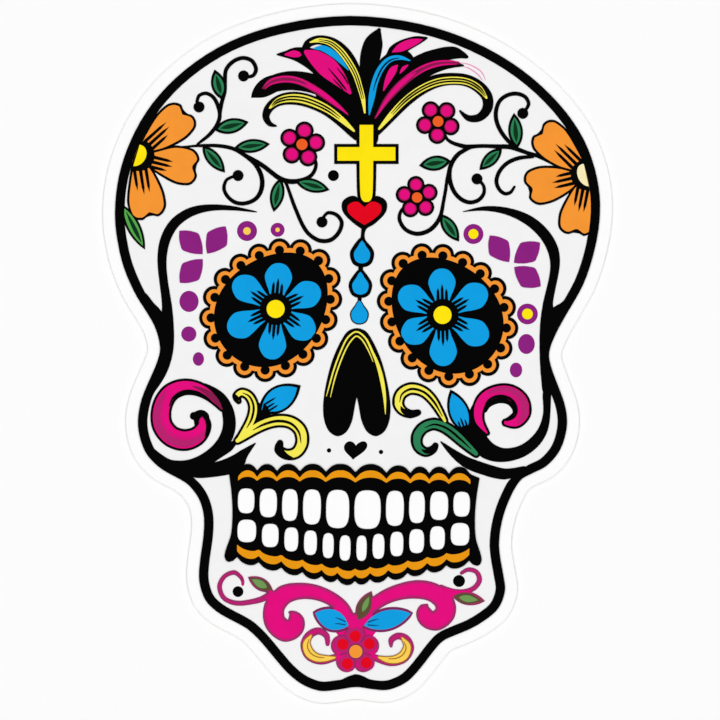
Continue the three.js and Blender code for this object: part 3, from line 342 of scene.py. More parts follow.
def linear(colour):
    parts = [int(colour[i:i + 2], 16) / 255 for i in (0, 2, 4)]
    return [p / 12.92 if p <= 0.04045 else ((p + 0.055) / 1.055) ** 2.4 for p in parts]


def blank(name):
    finish = bpy.data.materials.new(name)
    finish.use_nodes = True
    return finish, finish.node_tree, finish.node_tree.nodes["Principled BSDF"]


def wire(tree, skin, colour, roughness, bump):
    tree.links.new(colour, skin.inputs["Base Color"])
    tree.links.new(roughness, skin.inputs["Roughness"])
    tree.links.new(bump.outputs["Normal"], skin.inputs["Normal"])


def film_finish(name, colour, roughness=0.32, shade=0.93, gloss=0.1):
    finish, tree, skin = blank(name)
    skin.inputs["Specular IOR Level"].default_value = gloss
    ink = linear(colour)
    tint = node(tree, "ShaderNodeGroup", node_tree=film_tint, Tint=(*ink, 1),
                Shade=(*[c * shade for c in ink], 1), Edge=(*[c * EDGE_KEEP + EDGE_LIFT for c in ink], 1))
    grain = node(tree, "ShaderNodeGroup", node_tree=film_grain, Roughness=roughness)
    bump = node(tree, "ShaderNodeBump", {"Height": grain.outputs["Height"]},
                Strength=PEEL, Distance=PEEL_DEPTH)
    wire(tree, skin, tint.outputs["Color"], grain.outputs["Roughness"], bump)
    return finish


print("a mid grey on screen is", round(linear("808080")[0], 3), "in linear light")

# %% [markdown]
# ## The colours
# The films come in a few stock colours, and each is a slot of the part. The inks printed on them are shades
# of those colours, so they are listed under their film.

# %% Mix a finish for each film and ink
FILMS = {
    "white_film": ("fdfdfd", 0.42, 0.985),
    "face_film": ("f3f3f3", 0.42, 0.98),
    "black_film": ("020202", 0.3, 0.93, 0.05),
    "orange_film": ("f79733",), "yellow_film": ("ffe60a",), "red_film": ("e4001c",),
    "magenta_film": ("e5077e",), "purple_film": ("8c1f7f",), "blue_film": ("0a9fe3",),
    "green_film": ("2b8154",), "spring_green_film": ("55a84a",),
}
INKS = {
    "yellow_film": {"lemon_ink": "f8ec55", "pale_yellow_ink": "fbeebb", "amber_ink": "fdd055"},
    "orange_film": {"gum_ink": "eb980e", "blossom_orange_ink": "ee5f22", "brown_ink": "9a6a1c"},
    "green_film": {"dark_green_ink": "06341b", "moss_green_ink": "6f9a55", "olive_ink": "5f4a36"},
    "magenta_film": {"wine_ink": "86194a", "blush_ink": "b8216f", "soft_blush_ink": "d01577",
                     "pale_pink_ink": "ee9cc4"},
    "purple_film": {"plum_ink": "7d2a5f"},
    "blue_film": {"dark_blue_ink": "0b4a78"},
}
finishes = {name: film_finish(name, *values) for name, values in FILMS.items()}
for inks in INKS.values():
    finishes.update({name: film_finish(name, colour) for name, colour in inks.items()})
print(len(finishes), "film finishes")

# %% [markdown]
# ## Liner and adhesive
# The liner is bleached kraft paper with a silicone face, so it shows short fibres and a little tooth.
# The adhesive is a milky layer with the fine ripple that a coating blade leaves. One stretched noise
# does for both: it is fine across the fibres or ripples, and long along them.

# %% Mix the paper and the adhesive
DARK_FIBRE, PALE_FIBRE = 0.86, 1.06
FIBRE_SPREAD, FIBRE_DEPTH = 0.1, 0.0002


def fibre_finish(name, colour, stretch, roughness, depth):
    finish, tree, skin = blank(name)
    place = node(tree, "ShaderNodeTexCoord")
    drawn = node(tree, "ShaderNodeMapping", {"Vector": place.outputs["Object"]}, Scale=stretch)
    fibre = node(tree, "ShaderNodeTexNoise", {"Vector": drawn.outputs[0]},
                 Scale=1.0, Detail=6.0, Roughness=0.6)
    noise = fibre.outputs["Fac"]
    ink = linear(colour)
    tone = node(tree, "ShaderNodeMix", {"Factor": noise}, data_type="RGBA")
    tone.inputs[6].default_value = (*[c * DARK_FIBRE for c in ink], 1)
    tone.inputs[7].default_value = (*[min(c * PALE_FIBRE, 1) for c in ink], 1)
    bump = node(tree, "ShaderNodeBump", {"Height": noise}, Strength=depth, Distance=FIBRE_DEPTH)
    spread = node(tree, "ShaderNodeMapRange", {"Value": noise},
                  To_Min=roughness - FIBRE_SPREAD, To_Max=roughness + FIBRE_SPREAD)
    wire(tree, skin, tone.outputs[2], spread.outputs[0], bump)
    return finish


FIBRES = {
    "liner_paper": dict(colour="efe9dc", stretch=(420, 1500, 900), roughness=0.7, depth=0.35),
    "adhesive": dict(colour="e6e2d8", stretch=(60, 900, 60), roughness=0.3, depth=0.2),
}
finishes.update({name: fibre_finish(name, **values) for name, values in FIBRES.items()})
print(len(finishes), "finishes in all")

# %% [markdown]
# ## The cut films
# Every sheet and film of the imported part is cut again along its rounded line, at the same height, with
# the finish of its slot. It stands for the solid of the same name, and moves with the same body. A spline
# can swing a hair past its own points, so each line is held inside the box of its solid. The feathers and
# the cheek curls are printed in a paler yellow than the cross, and the gums in a browner orange than the
# flowers.

# %% Cut every film of the stack again
slot_of = {row["node"]: row["material_slot"] for row in frame["record"]["subparts"]}
OWN_TONE = {
    "crest_left_feather": "lemon_ink", "crest_right_feather": "lemon_ink",
    "left_cheek_curl": "lemon_ink", "right_cheek_curl": "lemon_ink",
    "upper_gum": "gum_ink", "lower_gum": "gum_ink",
}
for name in frame["nodes"]:
    low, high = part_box(name)
    edge = np.array([low[:2], high[:2]]) / MM
    lines = [rounded(line).clip(*edge) for line in cut_lines(name)]
    body = "liner" if name.startswith("liner") else "decal"
    slot = slot_of[name]
    finish = finishes[OWN_TONE.get(name, slot)]
    cut = film(name + "_cut", lines, low[2] / MM, high[2] / MM, finish, body)
    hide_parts(name)
print(len(films), "films cut again,", sum(len(f.data.polygons) for f in films.values()), "faces")

# %% [markdown]
# ## Small inks
# What is left is too fine to be cut as a film of its own: beads, veins, dots and thin streaks. On the
# real decal they are ink, printed on the films in one pass. Each is drawn as an outline in the layout's
# millimetres. A stroke is a spline with a width at every point.

# %% Draw dots and strokes
DOT_POINTS, STROKE_STEPS = 28, 6
THINNEST = 0.25


def dot(x, y, across, tall=None):
    turn = np.linspace(0, 2 * math.pi, DOT_POINTS, endpoint=False)
    return np.c_[x + across * np.cos(turn), y + (tall or across) * np.sin(turn)]


def unit(rows):
    return rows / np.linalg.norm(rows, axis=1)[:, None]


def left_of(along):
    return np.c_[-along[:, 1], along[:, 0]]


def stroke(*points):
    spots = np.array(points, float)
    ends = np.r_[[2 * spots[0] - spots[1]], spots, [2 * spots[-1] - spots[-2]]]
    spans = [spline(*ends[i:i + 4], STROKE_STEPS) for i in range(len(spots) - 1)]
    spine = np.concatenate(spans + [spots[-1:]])
    along = unit(np.gradient(spine[:, :2], axis=0))
    half = np.maximum(spine[:, 2:], THINNEST) / 2
    across = left_of(along) * half
    root, tip = spine[0, :2] - along[0] * half[0], spine[-1, :2] + along[-1] * half[-1]
    return np.r_[[root], spine[:, :2] - across, [tip], (spine[:, :2] + across)[::-1]]


print("a stroke of three points has", len(stroke((0, 0, 1), (1, 0, 2), (2, 1, 1))), "points")

# %% [markdown]
# ## Printing an ink
# An ink is moved from the layout to the part and raised by a tenth of a millimetre. One that crosses
# another lies a coat higher, so the two never share a surface. Black is the commonest, and has a short
# form.

# %% Print outlines as inks


def ink(name, loops, on, finish, coat=0):
    low = on + coat * INK
    placed = [np.asarray(line) + SHIFT for line in loops]
    return film(name, placed, low, low + INK, finishes[finish])


def black(name, loops, on, coat=0):
    return ink(name, loops, on, "black_film", coat)


print("a coat of ink is", INK, "mm thick")

# %% [markdown]
# ## The rim of an eye
# Every scallop of an eye's orange rim holds a black bead. The rim is a slanted egg shape, and equal turns
# would crowd the beads at its ends. So the egg is walked round in small steps first, and the walk is then
# divided into equal lengths, one for each bead.

# %% Walk round an eye's rim
EYE_RING, EYE_SLANT, EYE_TAPER = 30.1, 0.1, 0.11
EYE_BEADS, BEAD, BEAD_INSET = 18, 2.3, 0.3
WALK_STEPS = 720


def oval_of(count, at, lean, inset):
    turn = np.linspace(0, 2 * math.pi, WALK_STEPS + 1)
    long, short = (EYE_RING * (1 + side * EYE_SLANT) - inset for side in (1, -1))
    c, s = math.cos(math.radians(lean)), math.sin(math.radians(lean))
    along = long * np.cos(turn) + short * EYE_TAPER / 4
    across = short * np.sin(turn) * (1 - EYE_TAPER * np.cos(turn))
    line = np.c_[along, across] @ [[c, s], [-s, c]] + at
    walked = np.r_[0, np.cumsum(np.linalg.norm(np.diff(line, axis=0), axis=1))]
    marks = np.arange(count) * walked[-1] / count
    return np.c_[np.interp(marks, walked, line[:, 0]), np.interp(marks, walked, line[:, 1])]


first, second = oval_of(EYE_BEADS, LEFT_EYE, 0, BEAD_INSET)[:2]
print("beads stand", round(float(np.linalg.norm(second - first)), 2), "mm apart")

# %% [markdown]
# ## The eyes' beads and veins
# The petals are veined from a black ring round the yellow centre. The ring and its veins are one star: the
# veins of a petal run side by side, so they are set out along the petal and across it, and then turned to
# its angle. The star's window keeps clear of the yellow disc. The flowers sit a little nearer to the nose
# than the rims do.

# %% Set the beads and draw the veins
KNEE = 0.7  # share of a vein's length that stays broad
EYE_PETALS, EYE_HUB, EYE_WINDOW = 6, 8, 4.56
EYE_VEINS = [(-2.1, 13.2), (0, 15.6), (2.1, 13.6)]
FLOWER_SQUINT = 1.9


def vein_star(at, hub, petals, half, blunt):
    spots = []
    for turn, veins in petals:
        c, s = math.cos(math.radians(turn)), math.sin(math.radians(turn))
        for aside, reach in veins:
            foot = [math.sqrt(hub ** 2 - (aside + side * half) ** 2) for side in (-1, 1)]
            knee = foot[0] + (reach - foot[0]) * KNEE
            for u, v in ((foot[0], aside - half), (knee, aside - half * blunt), (reach, aside),
                         (knee, aside + half * blunt), (foot[1], aside + half)):
                spots.append((at[0] + u * c - v * s, at[1] + u * s + v * c))
    return np.array(spots)


for side, eye, lean, turn, inward in (("left", LEFT_EYE, 46, 25, 1), ("right", RIGHT_EYE, 130, 31, -1)):
    oval_at = (eye[0] - inward * FLOWER_SQUINT, eye[1])
    beads = [dot(x, y, BEAD) for x, y in oval_of(EYE_BEADS, oval_at, lean, BEAD_INSET)]
    black(f"{side}_eye_beads", beads, ON_COLOUR)
    petals = [(turn + 360 / EYE_PETALS * k, EYE_VEINS) for k in range(EYE_PETALS)]
    star = vein_star(eye, EYE_HUB, petals, half=0.8, blunt=0.8)
    black(f"{side}_eye_veins", [star, dot(*eye, EYE_WINDOW)], ON_COLOUR)
print(EYE_BEADS, "beads and", EYE_PETALS * len(EYE_VEINS), "veins on each eye")

# %% [markdown]
# ## Marigolds
# A marigold's middle is half hidden by the skull's contour: a half oval, yellow on the left and pale on
# the right, in a black surround with three veins to a petal. The surround is part of a star like an
# eye's, closed along the contour.

# %% Draw the marigolds' middles
SURROUND = {"half": 0.85, "blunt": 0.8}
HALF_OVAL_POINTS = 18
left_surround = np.r_[
    [(-111.4, 262.2)],
    vein_star((-108.5, 268.3), 7.9, [
        (-81, [(-3.4, 17.3), (-0.4, 19.9), (2.4, 19)]),
        (-13.5, [(-4.2, 15.4), (-1.7, 17.7), (0.8, 17.4)]),
        (42, [(-2.1, 17.6), (0.5, 20.9), (3.1, 21.3)])], **SURROUND),
    [(-107.2, 274.2), (-108.5, 273.3), (-111.5, 265.6), (-111.75, 264.7)]]
right_surround = np.r_[
    [(113.4, 265.3)],
    vein_star((115, 258.5), 7.7, [
        (135.5, [(-3.2, 18.5), (-0.4, 21.8), (2.3, 20.2)]),
        (193, [(-2.6, 15), (0, 17.4), (2.7, 17.1)]),
        (259, [(-2.8, 16.3), (-0.2, 18.8), (2.3, 18.4)])], **SURROUND),
    [(116.5, 252.4), (115.8, 256), (113.6, 264.5)]]
black("left_marigold_veins", [left_surround], ON_COLOUR)
black("right_marigold_veins", [right_surround], ON_COLOUR)


def half_oval(top, foot, bulge):
    top, foot, bulge = (np.array(spot) for spot in (top, foot, bulge))
    turn = np.linspace(0, math.pi, HALF_OVAL_POINTS)[:, None]
    middle = (top + foot) / 2
    return middle + np.cos(turn) * (top - middle) + np.sin(turn) * (bulge - middle)


left_middle = half_oval((-108.1, 273.6), (-111.3, 262.9), (-104.9, 267.6))
right_middle = half_oval((113.8, 264), (116.3, 252.8), (110.6, 258.4))
ink("left_marigold_middle", [left_middle], ON_COLOUR, "yellow_film", 1)
ink("right_marigold_middle", [right_middle], ON_COLOUR, "pale_yellow_ink", 1)
print("marigolds veined,", len(left_surround), "points on the left")

# %% [markdown]
# ## Blossoms
# Each petal of a blossom has a wine rim, and a black star parts the petals round a red-orange eye. The
# three blossoms differ only in size and turn.

# %% Draw the blossoms' rims, stars and eyes
BLOSSOM_PETALS, BLOSSOM_RING, BLOSSOM_EYE = 5, 7, 2.8
RIM_OUTSIDE, RIM_INSIDE = 3.38, 2.85
STAR_HUB, STAR_REACH, STAR_HALF, STAR_BLUNT = 4.2, 7.4, 1.1, 0.35
BLOSSOMS = [("left_blossom", (-27, 273.7), 80, 1), ("right_blossom_upper", (41, 285.2), 51, 0.96),
            ("right_blossom_lower", (30.5, 247.2), 23, 0.92)]
petal_step = 360 / BLOSSOM_PETALS


def ring_of(count, at, radius, turn):
    angle = np.radians(turn) + np.arange(count) * 2 * np.pi / count
    return np.c_[at[0] + radius * np.cos(angle), at[1] + radius * np.sin(angle)]


for name, at, turn, size in BLOSSOMS:
    petals = ring_of(BLOSSOM_PETALS, at, BLOSSOM_RING * size, turn)
    rims = [dot(x, y, across * size) for x, y in petals for across in (RIM_OUTSIDE, RIM_INSIDE)]
    ink(name + "_rims", rims, ON_COLOUR, "wine_ink")
    rays = [(turn + petal_step * (k + 0.5), [(0, STAR_REACH * size)]) for k in range(BLOSSOM_PETALS)]
    star = vein_star(at, STAR_HUB * size, rays, STAR_HALF * size, STAR_BLUNT)
    black(name + "_star", [star], ON_COLOUR, 1)
    ink(name + "_eye", [dot(*at, BLOSSOM_EYE * size)], ON_COLOUR, "blossom_orange_ink", 2)
print(len(BLOSSOMS), "blossoms have eyes")

# %% [markdown]
# ## Leaves
# Each green leaf has a darker core along its midrib. Base and tip need not be given again: they are the
# two points of the leaf's own cut line that lie farthest apart.

# %% Lay a dark core on each green leaf
CORE = [(0.1, 0.06), (0.35, 0.42), (0.62, 0.36), (0.9, 0.06)]  # shares of the leaf's length and width


def ends_of(name):
    line = np.concatenate(cut_lines(name))
    apart = np.linalg.norm(line[:, None] - line[None], axis=2)
    a, b = np.unravel_index(apart.argmax(), apart.shape)
    midrib = (line[b] - line[a]) / apart.max()
    aside = (line - line[a]) @ (-midrib[1], midrib[0])
    return line[a] - SHIFT, line[b] - SHIFT, np.ptp(aside)


green_leaves = [name for name, slot in slot_of.items()
                if slot in ("green_film", "spring_green_film") and "leaf" in name]
for name in green_leaves:
    a, b, across = ends_of(name)
    core = [(*(a + (b - a) * share), wide * across) for share, wide in CORE]
    ink(name + "_core", [stroke(*core)], ON_COLOUR, "dark_green_ink")
print(len(green_leaves), "leaves have a core")

# %% [markdown]
# ## Cheek leaves
# The blue cheek leaves are shaded from their stalks with a few black wedges. A fan of wedges is one
# petal's worth of veins, closed at the stalk. The crotch between the left leaf and the curl is black.

# %% Shade the cheek leaves
FAN_HUB = 3.5


def fan(at, turn, veins):
    return np.r_[vein_star(at, FAN_HUB, [(turn, veins)], half=0.5, blunt=0.8), [at]]


left_fan = fan((-47, 140.6), 32, [(-1.8, 8.6), (0, 7.6), (2, 9.6)])
right_fan = fan((54.9, 129.8), 110, [(-1.7, 6.5), (0, 8), (1.7, 6.8)])
black("left_cheek_leaf_veins", [left_fan], ON_COLOUR)
black("right_cheek_leaf_veins", [right_fan], ON_COLOUR)
CROTCH = [(-50.4, 135.2), (-46.4, 136.9), (-42, 138.9), (-38.4, 139.6), (-43, 139.9), (-47.4, 140.4),
          (-47.2, 143.4), (-48.8, 145), (-48.9, 140)]
black("left_cheek_crotch", [CROTCH], ON_FACE)
print("two leaves veined")

# %% [markdown]
# ## Cheek curls
# The curls carry a fine line along the middle, which makes one broad stroke read as two, and turn black
# at their ends.

# %% Line the curls
LEFT_CURL = [
    stroke((-54.6, 132, 0.3), (-52, 137, 1.1), (-51.2, 143, 1.1), (-53.3, 147.8, 0.9), (-56.6, 149.6, 0.3)),
    stroke((-51.5, 131, 0.3), (-46, 133.8, 1.2), (-39, 135.5, 1.4), (-32.5, 134.2, 1.3), (-28.6, 130, 1),
           (-27.4, 124.5, 0.3))]
RIGHT_CURL = [
    stroke((43.2, 137.8, 0.3), (39, 145, 1.2), (34, 149.9, 1.2), (27.6, 151.5, 1.2), (23, 148.9, 0.9),
           (21.8, 145, 0.3))]
FROND = [
    stroke((57.5, 121.5, 0.3), (52, 126.6, 1.1), (45.3, 131.9, 1.1), (39, 133.8, 0.9), (34.5, 132.2, 0.3))]
HOOKS = [
    stroke((-31.5, 117.2, 0.3), (-34.4, 117.9, 2.2), (-37.1, 119.6, 3.6), (-38.3, 122.2, 3),
           (-37.9, 124.8, 1.5)),
    stroke((-60.4, 148.8, 0.5), (-60, 147.4, 2.4), (-59.4, 146, 1.9), (-58.8, 145, 1)),
    stroke((22.4, 142.8, 0.4), (23.4, 140.9, 2.1), (25.5, 139.4, 2.6), (28.2, 138.9, 2.4),
           (31.2, 139.6, 1.5)),
    stroke((32.8, 121.2, 0.4), (34.8, 120.3, 2), (37, 120.5, 2.4), (38.8, 121.7, 2), (39.7, 123.3, 1.3))]
for name, lines in (("left_curl_lines", LEFT_CURL), ("right_curl_line", RIGHT_CURL),
                    ("frond_line", FROND), ("curl_hooks", HOOKS)):
    black(name, lines, ON_COLOUR)
print("curls lined, with", len(HOOKS), "black ends")

# %% [markdown]
# ## Blush on the spirals
# The magenta spirals deepen towards their outside. A print does this in steps: a soft blush that reaches
# farther in, and a darker one over it along the edge. The soft one is the same stroke, wider and moved
# towards the middle of the spiral.

# %% Blush the spirals
LEFT_BLUSH = [(-95.5, 150.4, 0.6), (-98.8, 143, 2.6), (-99, 133.5, 3.2), (-94, 126.7, 3.4),
              (-86, 124.1, 3.2), (-78.3, 126.6, 2), (-75, 131, 0.6)]
RIGHT_BLUSH = [(66, 149.6, 0.6), (71, 151.4, 2), (77.6, 151, 2.6), (83.2, 146.6, 3), (84.6, 139.4, 2.8),
               (81, 134.4, 0.6)]
SOFT_REACH = 1.6


def deeper(points, towards):
    spots = np.array(points, float)
    inward = unit(np.array(towards) - spots[:, :2])
    grow = SOFT_REACH * spots[:, 2:] / spots[:, 2].max()
    return np.c_[spots[:, :2] + inward * grow / 2, spots[:, 2:] + grow]


for side, points, towards in (("left", LEFT_BLUSH, (-86, 137)), ("right", RIGHT_BLUSH, (74, 142))):
    ink(f"{side}_spiral_soft_blush", [stroke(*deeper(points, towards))], ON_COLOUR, "soft_blush_ink")
    ink(f"{side}_spiral_blush", [stroke(*points)], ON_COLOUR, "blush_ink", 1)
WINE_TAIL = [(-67.2, 141.7, 0.8), (-69.3, 144.9, 2.4), (-72.6, 148.4, 3), (-77, 151.2, 1.8),
             (-81.5, 152.9, 0.5)]
ink("left_spiral_wine", [stroke(*WINE_TAIL)], ON_COLOUR, "wine_ink")
print("spirals blushed in two steps")

# %% [markdown]
# ## Black lines in the spirals
# A black line follows the inside of each spiral. The left one ends in a hook round a knob, and behind the
# right one a broader line on the face closes the gap between the film and the black key.

# %% Draw the spirals' black lines
LEFT_LINE = [(-93.3, 143, 0.4), (-91.2, 147.2, 1.2), (-86, 150.2, 1.6), (-80, 149.8, 1.7),
             (-75, 147.2, 1.5), (-70.5, 143.4, 0.6)]
HOOK = np.array([
    (-75.6, 127), (-74.1, 129.2), (-73.3, 132.6), (-73.7, 136), (-75.4, 138.9), (-77.5, 139.4),
    (-79.5, 139.3), (-82.1, 138.6), (-82.1, 137.5), (-80.2, 136.6), (-79.1, 135.8), (-79, 134.2),
    (-78.5, 134.2), (-78.3, 136.2), (-76.9, 137.8), (-75.4, 135.7), (-74.9, 133), (-75.1, 130.2)])
KNOB = [(-73.7, 135.2, 0.8), (-75, 138.2, 3), (-77.4, 139.3, 3.6), (-80, 138.8, 2.8), (-81.5, 137.6, 1.4)]
RIGHT_LINE = [(63.7, 141, 0.3), (66, 145.6, 1), (71, 147.9, 1.5), (76.8, 146.8, 1.4), (79.7, 143.4, 1.3),
              (80.1, 139.6, 1.2), (78.5, 137, 0.9), (75, 135.5, 0.4)]
RIGHT_SHADOW = [(64.8, 140, 0.8), (66.6, 143.6, 2.4), (71.4, 145.8, 3), (76.3, 145, 2.8), (78.8, 141.9, 2),
                (78.9, 138.8, 0.8)]
black("left_spiral_line", [stroke(*LEFT_LINE)], ON_COLOUR, 1)
black("left_spiral_hook", [rounded(HOOK)], ON_COLOUR, 2)
black("left_spiral_knob", [stroke(*KNOB)], ON_FACE)
black("right_spiral_line", [stroke(*RIGHT_LINE)], ON_COLOUR, 1)
black("right_spiral_shadow", [stroke(*RIGHT_SHADOW)], ON_FACE)
print("spirals lined")

# %% [markdown]
# ## Crest
# The black plume is streaked with wine, magenta, yellow and blue. The list gives each streak's ink, its
# coat and its points, and its strokes swell and run out as the feathers do.

# %% Streak the crest
CREST = {
    "crest_left_wine": ("wine_ink", 0, [
        (-46.6, 301.8, 0.8), (-43, 304.8, 3), (-38.5, 306.1, 3.4), (-33.8, 306.4, 3.5), (-29.2, 305.6, 3.5),
        (-24.6, 303.7, 3.4), (-18.7, 300.2, 3.4), (-13.4, 296.4, 3), (-8, 292.2, 2), (-3.9, 288.5, 0.6)]),
    "crest_left_streak": ("magenta_film", 2, [
        (-25.4, 304.2, 0.4), (-21.8, 302.3, 1.6), (-17.6, 299.7, 2.4), (-12.6, 295.9, 2.2), (-8, 292.2, 1.4),
        (-4.2, 288.9, 0.4)]),
    "crest_right_wine": ("wine_ink", 0, [
        (9.6, 286.9, 0.8), (15.4, 296, 3), (21.6, 303, 3.8), (28, 308.3, 3.6), (34.5, 312.1, 3.2),
        (41.5, 314.2, 2.8), (48, 314.7, 2.2), (52.2, 314.2, 0.6)]),
    "crest_right_streak": ("magenta_film", 2, [
        (10.1, 287.5, 0.4), (15.2, 295.6, 1.6), (21, 302.6, 2.4), (26, 307, 2), (30, 309.8, 0.4)]),
    "crest_arch": ("lemon_ink", 1, [
        (4.4, 289.5, 0.8), (3.5, 296.5, 2.2), (1.9, 302.4, 2.6), (-0.3, 309, 3), (-4.2, 315.8, 3.2),
        (-8.2, 320.9, 3.2), (-13, 324.6, 2.8), (-18.5, 325.8, 2.2), (-23, 324.8, 0.6)]),
    "crest_left_blue": ("blue_film", 0, [
        (-21.1, 321.7, 0.6), (-16.6, 321.8, 3), (-11.8, 319.3, 3.3), (-7.5, 315.3, 2.2), (-3.9, 311, 0.5)]),
    "crest_right_blue": ("blue_film", 0, [
        (6.6, 288.6, 0.6), (7.75, 296.7, 3), (9.3, 304.4, 3.2), (12.2, 311.3, 3.2), (16.5, 316, 2.8),
        (21.6, 317.2, 2.2), (27, 315.7, 0.6)]),
    "crest_right_blue_line": ("black_film", 1, [
        (8.6, 300.6, 0.2), (10.5, 306.6, 0.7), (13.5, 312.5, 0.8), (17.3, 315.9, 0.7), (21.6, 317, 0.3)]),
    "crest_right_inner": ("magenta_film", 0, [
        (13.7, 300.6, 0.5), (16, 306.1, 3), (18.6, 310.9, 3.6), (20.6, 313.2, 1)]),
    "crest_right_inner_tip": ("magenta_film", 0, [
        (22, 309.3, 0.5), (23.7, 311.7, 1.8), (25.9, 313.4, 0.6)]),
    "crest_right_tip": ("magenta_film", 0, [
        (18.2, 320, 0.6), (22, 322, 4), (26.7, 324.1, 4.2), (30.6, 325.4, 2.6), (33.2, 326.2, 0.4)]),
    "crest_left_tip": ("magenta_film", 0, [
        (-35.5, 318.7, 0.8), (-31, 319, 3.5), (-28.4, 318.7, 2.6)]),
}
for name, (finish, coat, points) in CREST.items():
    ink(name, [stroke(*points)], ON_KEY, finish, coat)
print(len(CREST), "streaks on the crest")

# %% [markdown]
# ## The crest's wings
# Thin magenta lines run along the wine streaks of both wings, and two pale pink tails leave the right
# one. The left wing's tip and the plume's root are filled in black on the face, where the streaks run out.

# %% Line the wings
LEFT_WING = [
    stroke((-46, 303, 0.3), (-42.4, 306, 0.7), (-38.4, 307.3, 0.8), (-33.8, 307.6, 0.8), (-29.2, 306.7, 0.8),
           (-24.6, 304.8, 0.8), (-20, 302.3, 0.4)),
    stroke((-45.6, 301.4, 0.3), (-43, 303.5, 0.6), (-39, 304.9, 0.7), (-33.8, 305.2, 0.7),
           (-29.2, 304.5, 0.8), (-24.6, 302.7, 0.8), (-20, 300.1, 0.4))]
RIGHT_WING = [
    stroke((25.1, 308, 0.4), (32.3, 312.4, 0.8), (39.6, 315, 0.8), (46.1, 315.5, 0.7), (51.4, 315, 0.3)),
    stroke((28.7, 307.5, 0.4), (36, 311.6, 0.8), (43.2, 313.6, 0.8), (50.4, 313.9, 0.3))]
WING_TIP = np.array([
    (-52.5, 297.1), (-51.8, 300.3), (-50, 303.5), (-47.7, 305.9), (-45, 307.5), (-42.3, 308.4), (-39, 306),
    (-39, 300.4), (-42.3, 298.7), (-46, 297.3)])
PINK_TAILS = [
    stroke((52.8, 314.6, 0.3), (57.5, 313.4, 0.6), (62.7, 310, 0.6), (64.8, 305.9, 0.3)),
    stroke((53.4, 312.9, 0.3), (56.7, 311.7, 0.6), (61, 308.7, 0.6), (63.3, 305.7, 0.3))]
ROOT = [[(-5, 287.2), (1.2, 286.2), (1.2, 279.4)],
        [(-20.5, 300.2), (-15, 298), (-8, 292.5), (-9, 290.5), (-14.5, 294), (-20, 297.6)]]
ink("crest_left_lines", LEFT_WING, ON_KEY, "magenta_film", 1)
ink("crest_right_lines", RIGHT_WING, ON_KEY, "magenta_film", 1)
black("crest_left_wing_tip", [rounded(WING_TIP)], ON_FACE)
ink("crest_pink_tails", PINK_TAILS, ON_FACE, "pale_pink_ink")
black("crest_root", ROOT, ON_FACE)
print(len(LEFT_WING + RIGHT_WING), "lines and", len(PINK_TAILS), "tails on the wings")

# %% [markdown]
# ## Hair lines
# Black hair lines part the coloured feathers into strands. On a feather they run to both sides of its
# middle, at a set share of its width, so they close in as the feather narrows.

# %% Part the coloured feathers with hair lines
black("plume_hair_lines", [
    stroke((-13.8, 311.8, 0.3), (-9.8, 307.1, 0.9), (-6.3, 302.7, 0.9), (-4.7, 300.7, 0.4)),
    stroke((-9.4, 311.8, 0.3), (-5.9, 307.4, 0.8), (-4, 303.9, 0.5)),
    stroke((-11.4, 306.4, 0.3), (-8.7, 303.5, 0.7), (-6.4, 301.1, 0.4))], ON_COLOUR)
LEFT_FEATHER = [(-8, 286.8, 2.8), (-13.5, 290.9, 3.5), (-20.5, 294.4, 4), (-27.2, 296.5, 4.1),
                (-33.9, 296.8, 3.7), (-39.4, 295.2, 2.7), (-42, 293, 1.6)]
RIGHT_FEATHER = [(18, 289, 2.6), (24.5, 295.8, 3), (32.5, 301.5, 3.3), (40.5, 304.9, 3.4),
                 (48.5, 305.9, 3.4), (56, 305, 3.2), (61.8, 301.6, 2.8), (64.6, 298, 1.6)]
FEATHER_HAIR, ARCH_HAIR = 0.85, 0.6
HAIR_ASIDE = 0.19  # share of the feather's width from its middle to a hair line


def hairs(points, wide):
    spots = np.array(points, float)
    along = unit(np.gradient(spots[:, :2], axis=0))
    aside = left_of(along) * spots[:, 2:] * HAIR_ASIDE
    thin = np.r_[THINNEST, np.full(len(spots) - 2, wide), THINNEST]
    return [stroke(*np.c_[spots[:, :2] + side * aside, thin]) for side in (-1, 1)]


feather_hairs = hairs(LEFT_FEATHER, FEATHER_HAIR) + hairs(RIGHT_FEATHER, FEATHER_HAIR)
arch_middle = CREST["crest_arch"][2][1:-1]
black("feather_hair_lines", feather_hairs, ON_COLOUR)
black("arch_hair_lines", hairs(arch_middle, ARCH_HAIR), ON_KEY, 2)
print("plume and feathers parted,", len(feather_hairs), "lines on the feathers")

# %% [markdown]
# ## Nose
# Two fine yellow lines follow the nose's arch just inside its edge, and the outer one swells into a
# broader gleam on the right. Under the nose sit a small leaning heart and two dots. The heart is a
# formula: a sine raised to a power for its width, and a few cosines for its lobes and point.

# %% Line the nose and set the small heart
ink("nose_gleam", [
    stroke((-14.8, 147.9, 0.3), (-13.1, 154.1, 0.7), (-11.2, 160.8, 0.8), (-7.9, 169.7, 0.8),
           (-3.95, 177.4, 0.8), (0.2, 180.1, 0.8), (4.4, 177.4, 0.9), (8.35, 169.7, 1.2), (10.9, 163.6, 1.7),
           (12.9, 156.3, 2), (14.3, 147.4, 1.5), (14.7, 139, 0.3)),
    stroke((-12.8, 147.4, 0.3), (-10.7, 156.3, 0.7), (-7.9, 164.7, 0.7), (-4.5, 172.5, 0.7),
           (-1.7, 176.5, 0.7), (0.3, 177.9, 0.7), (2.8, 176.3, 0.7), (6.1, 170.9, 0.6), (8.5, 165.2, 0.3)),
], ON_KEY, "lemon_ink")


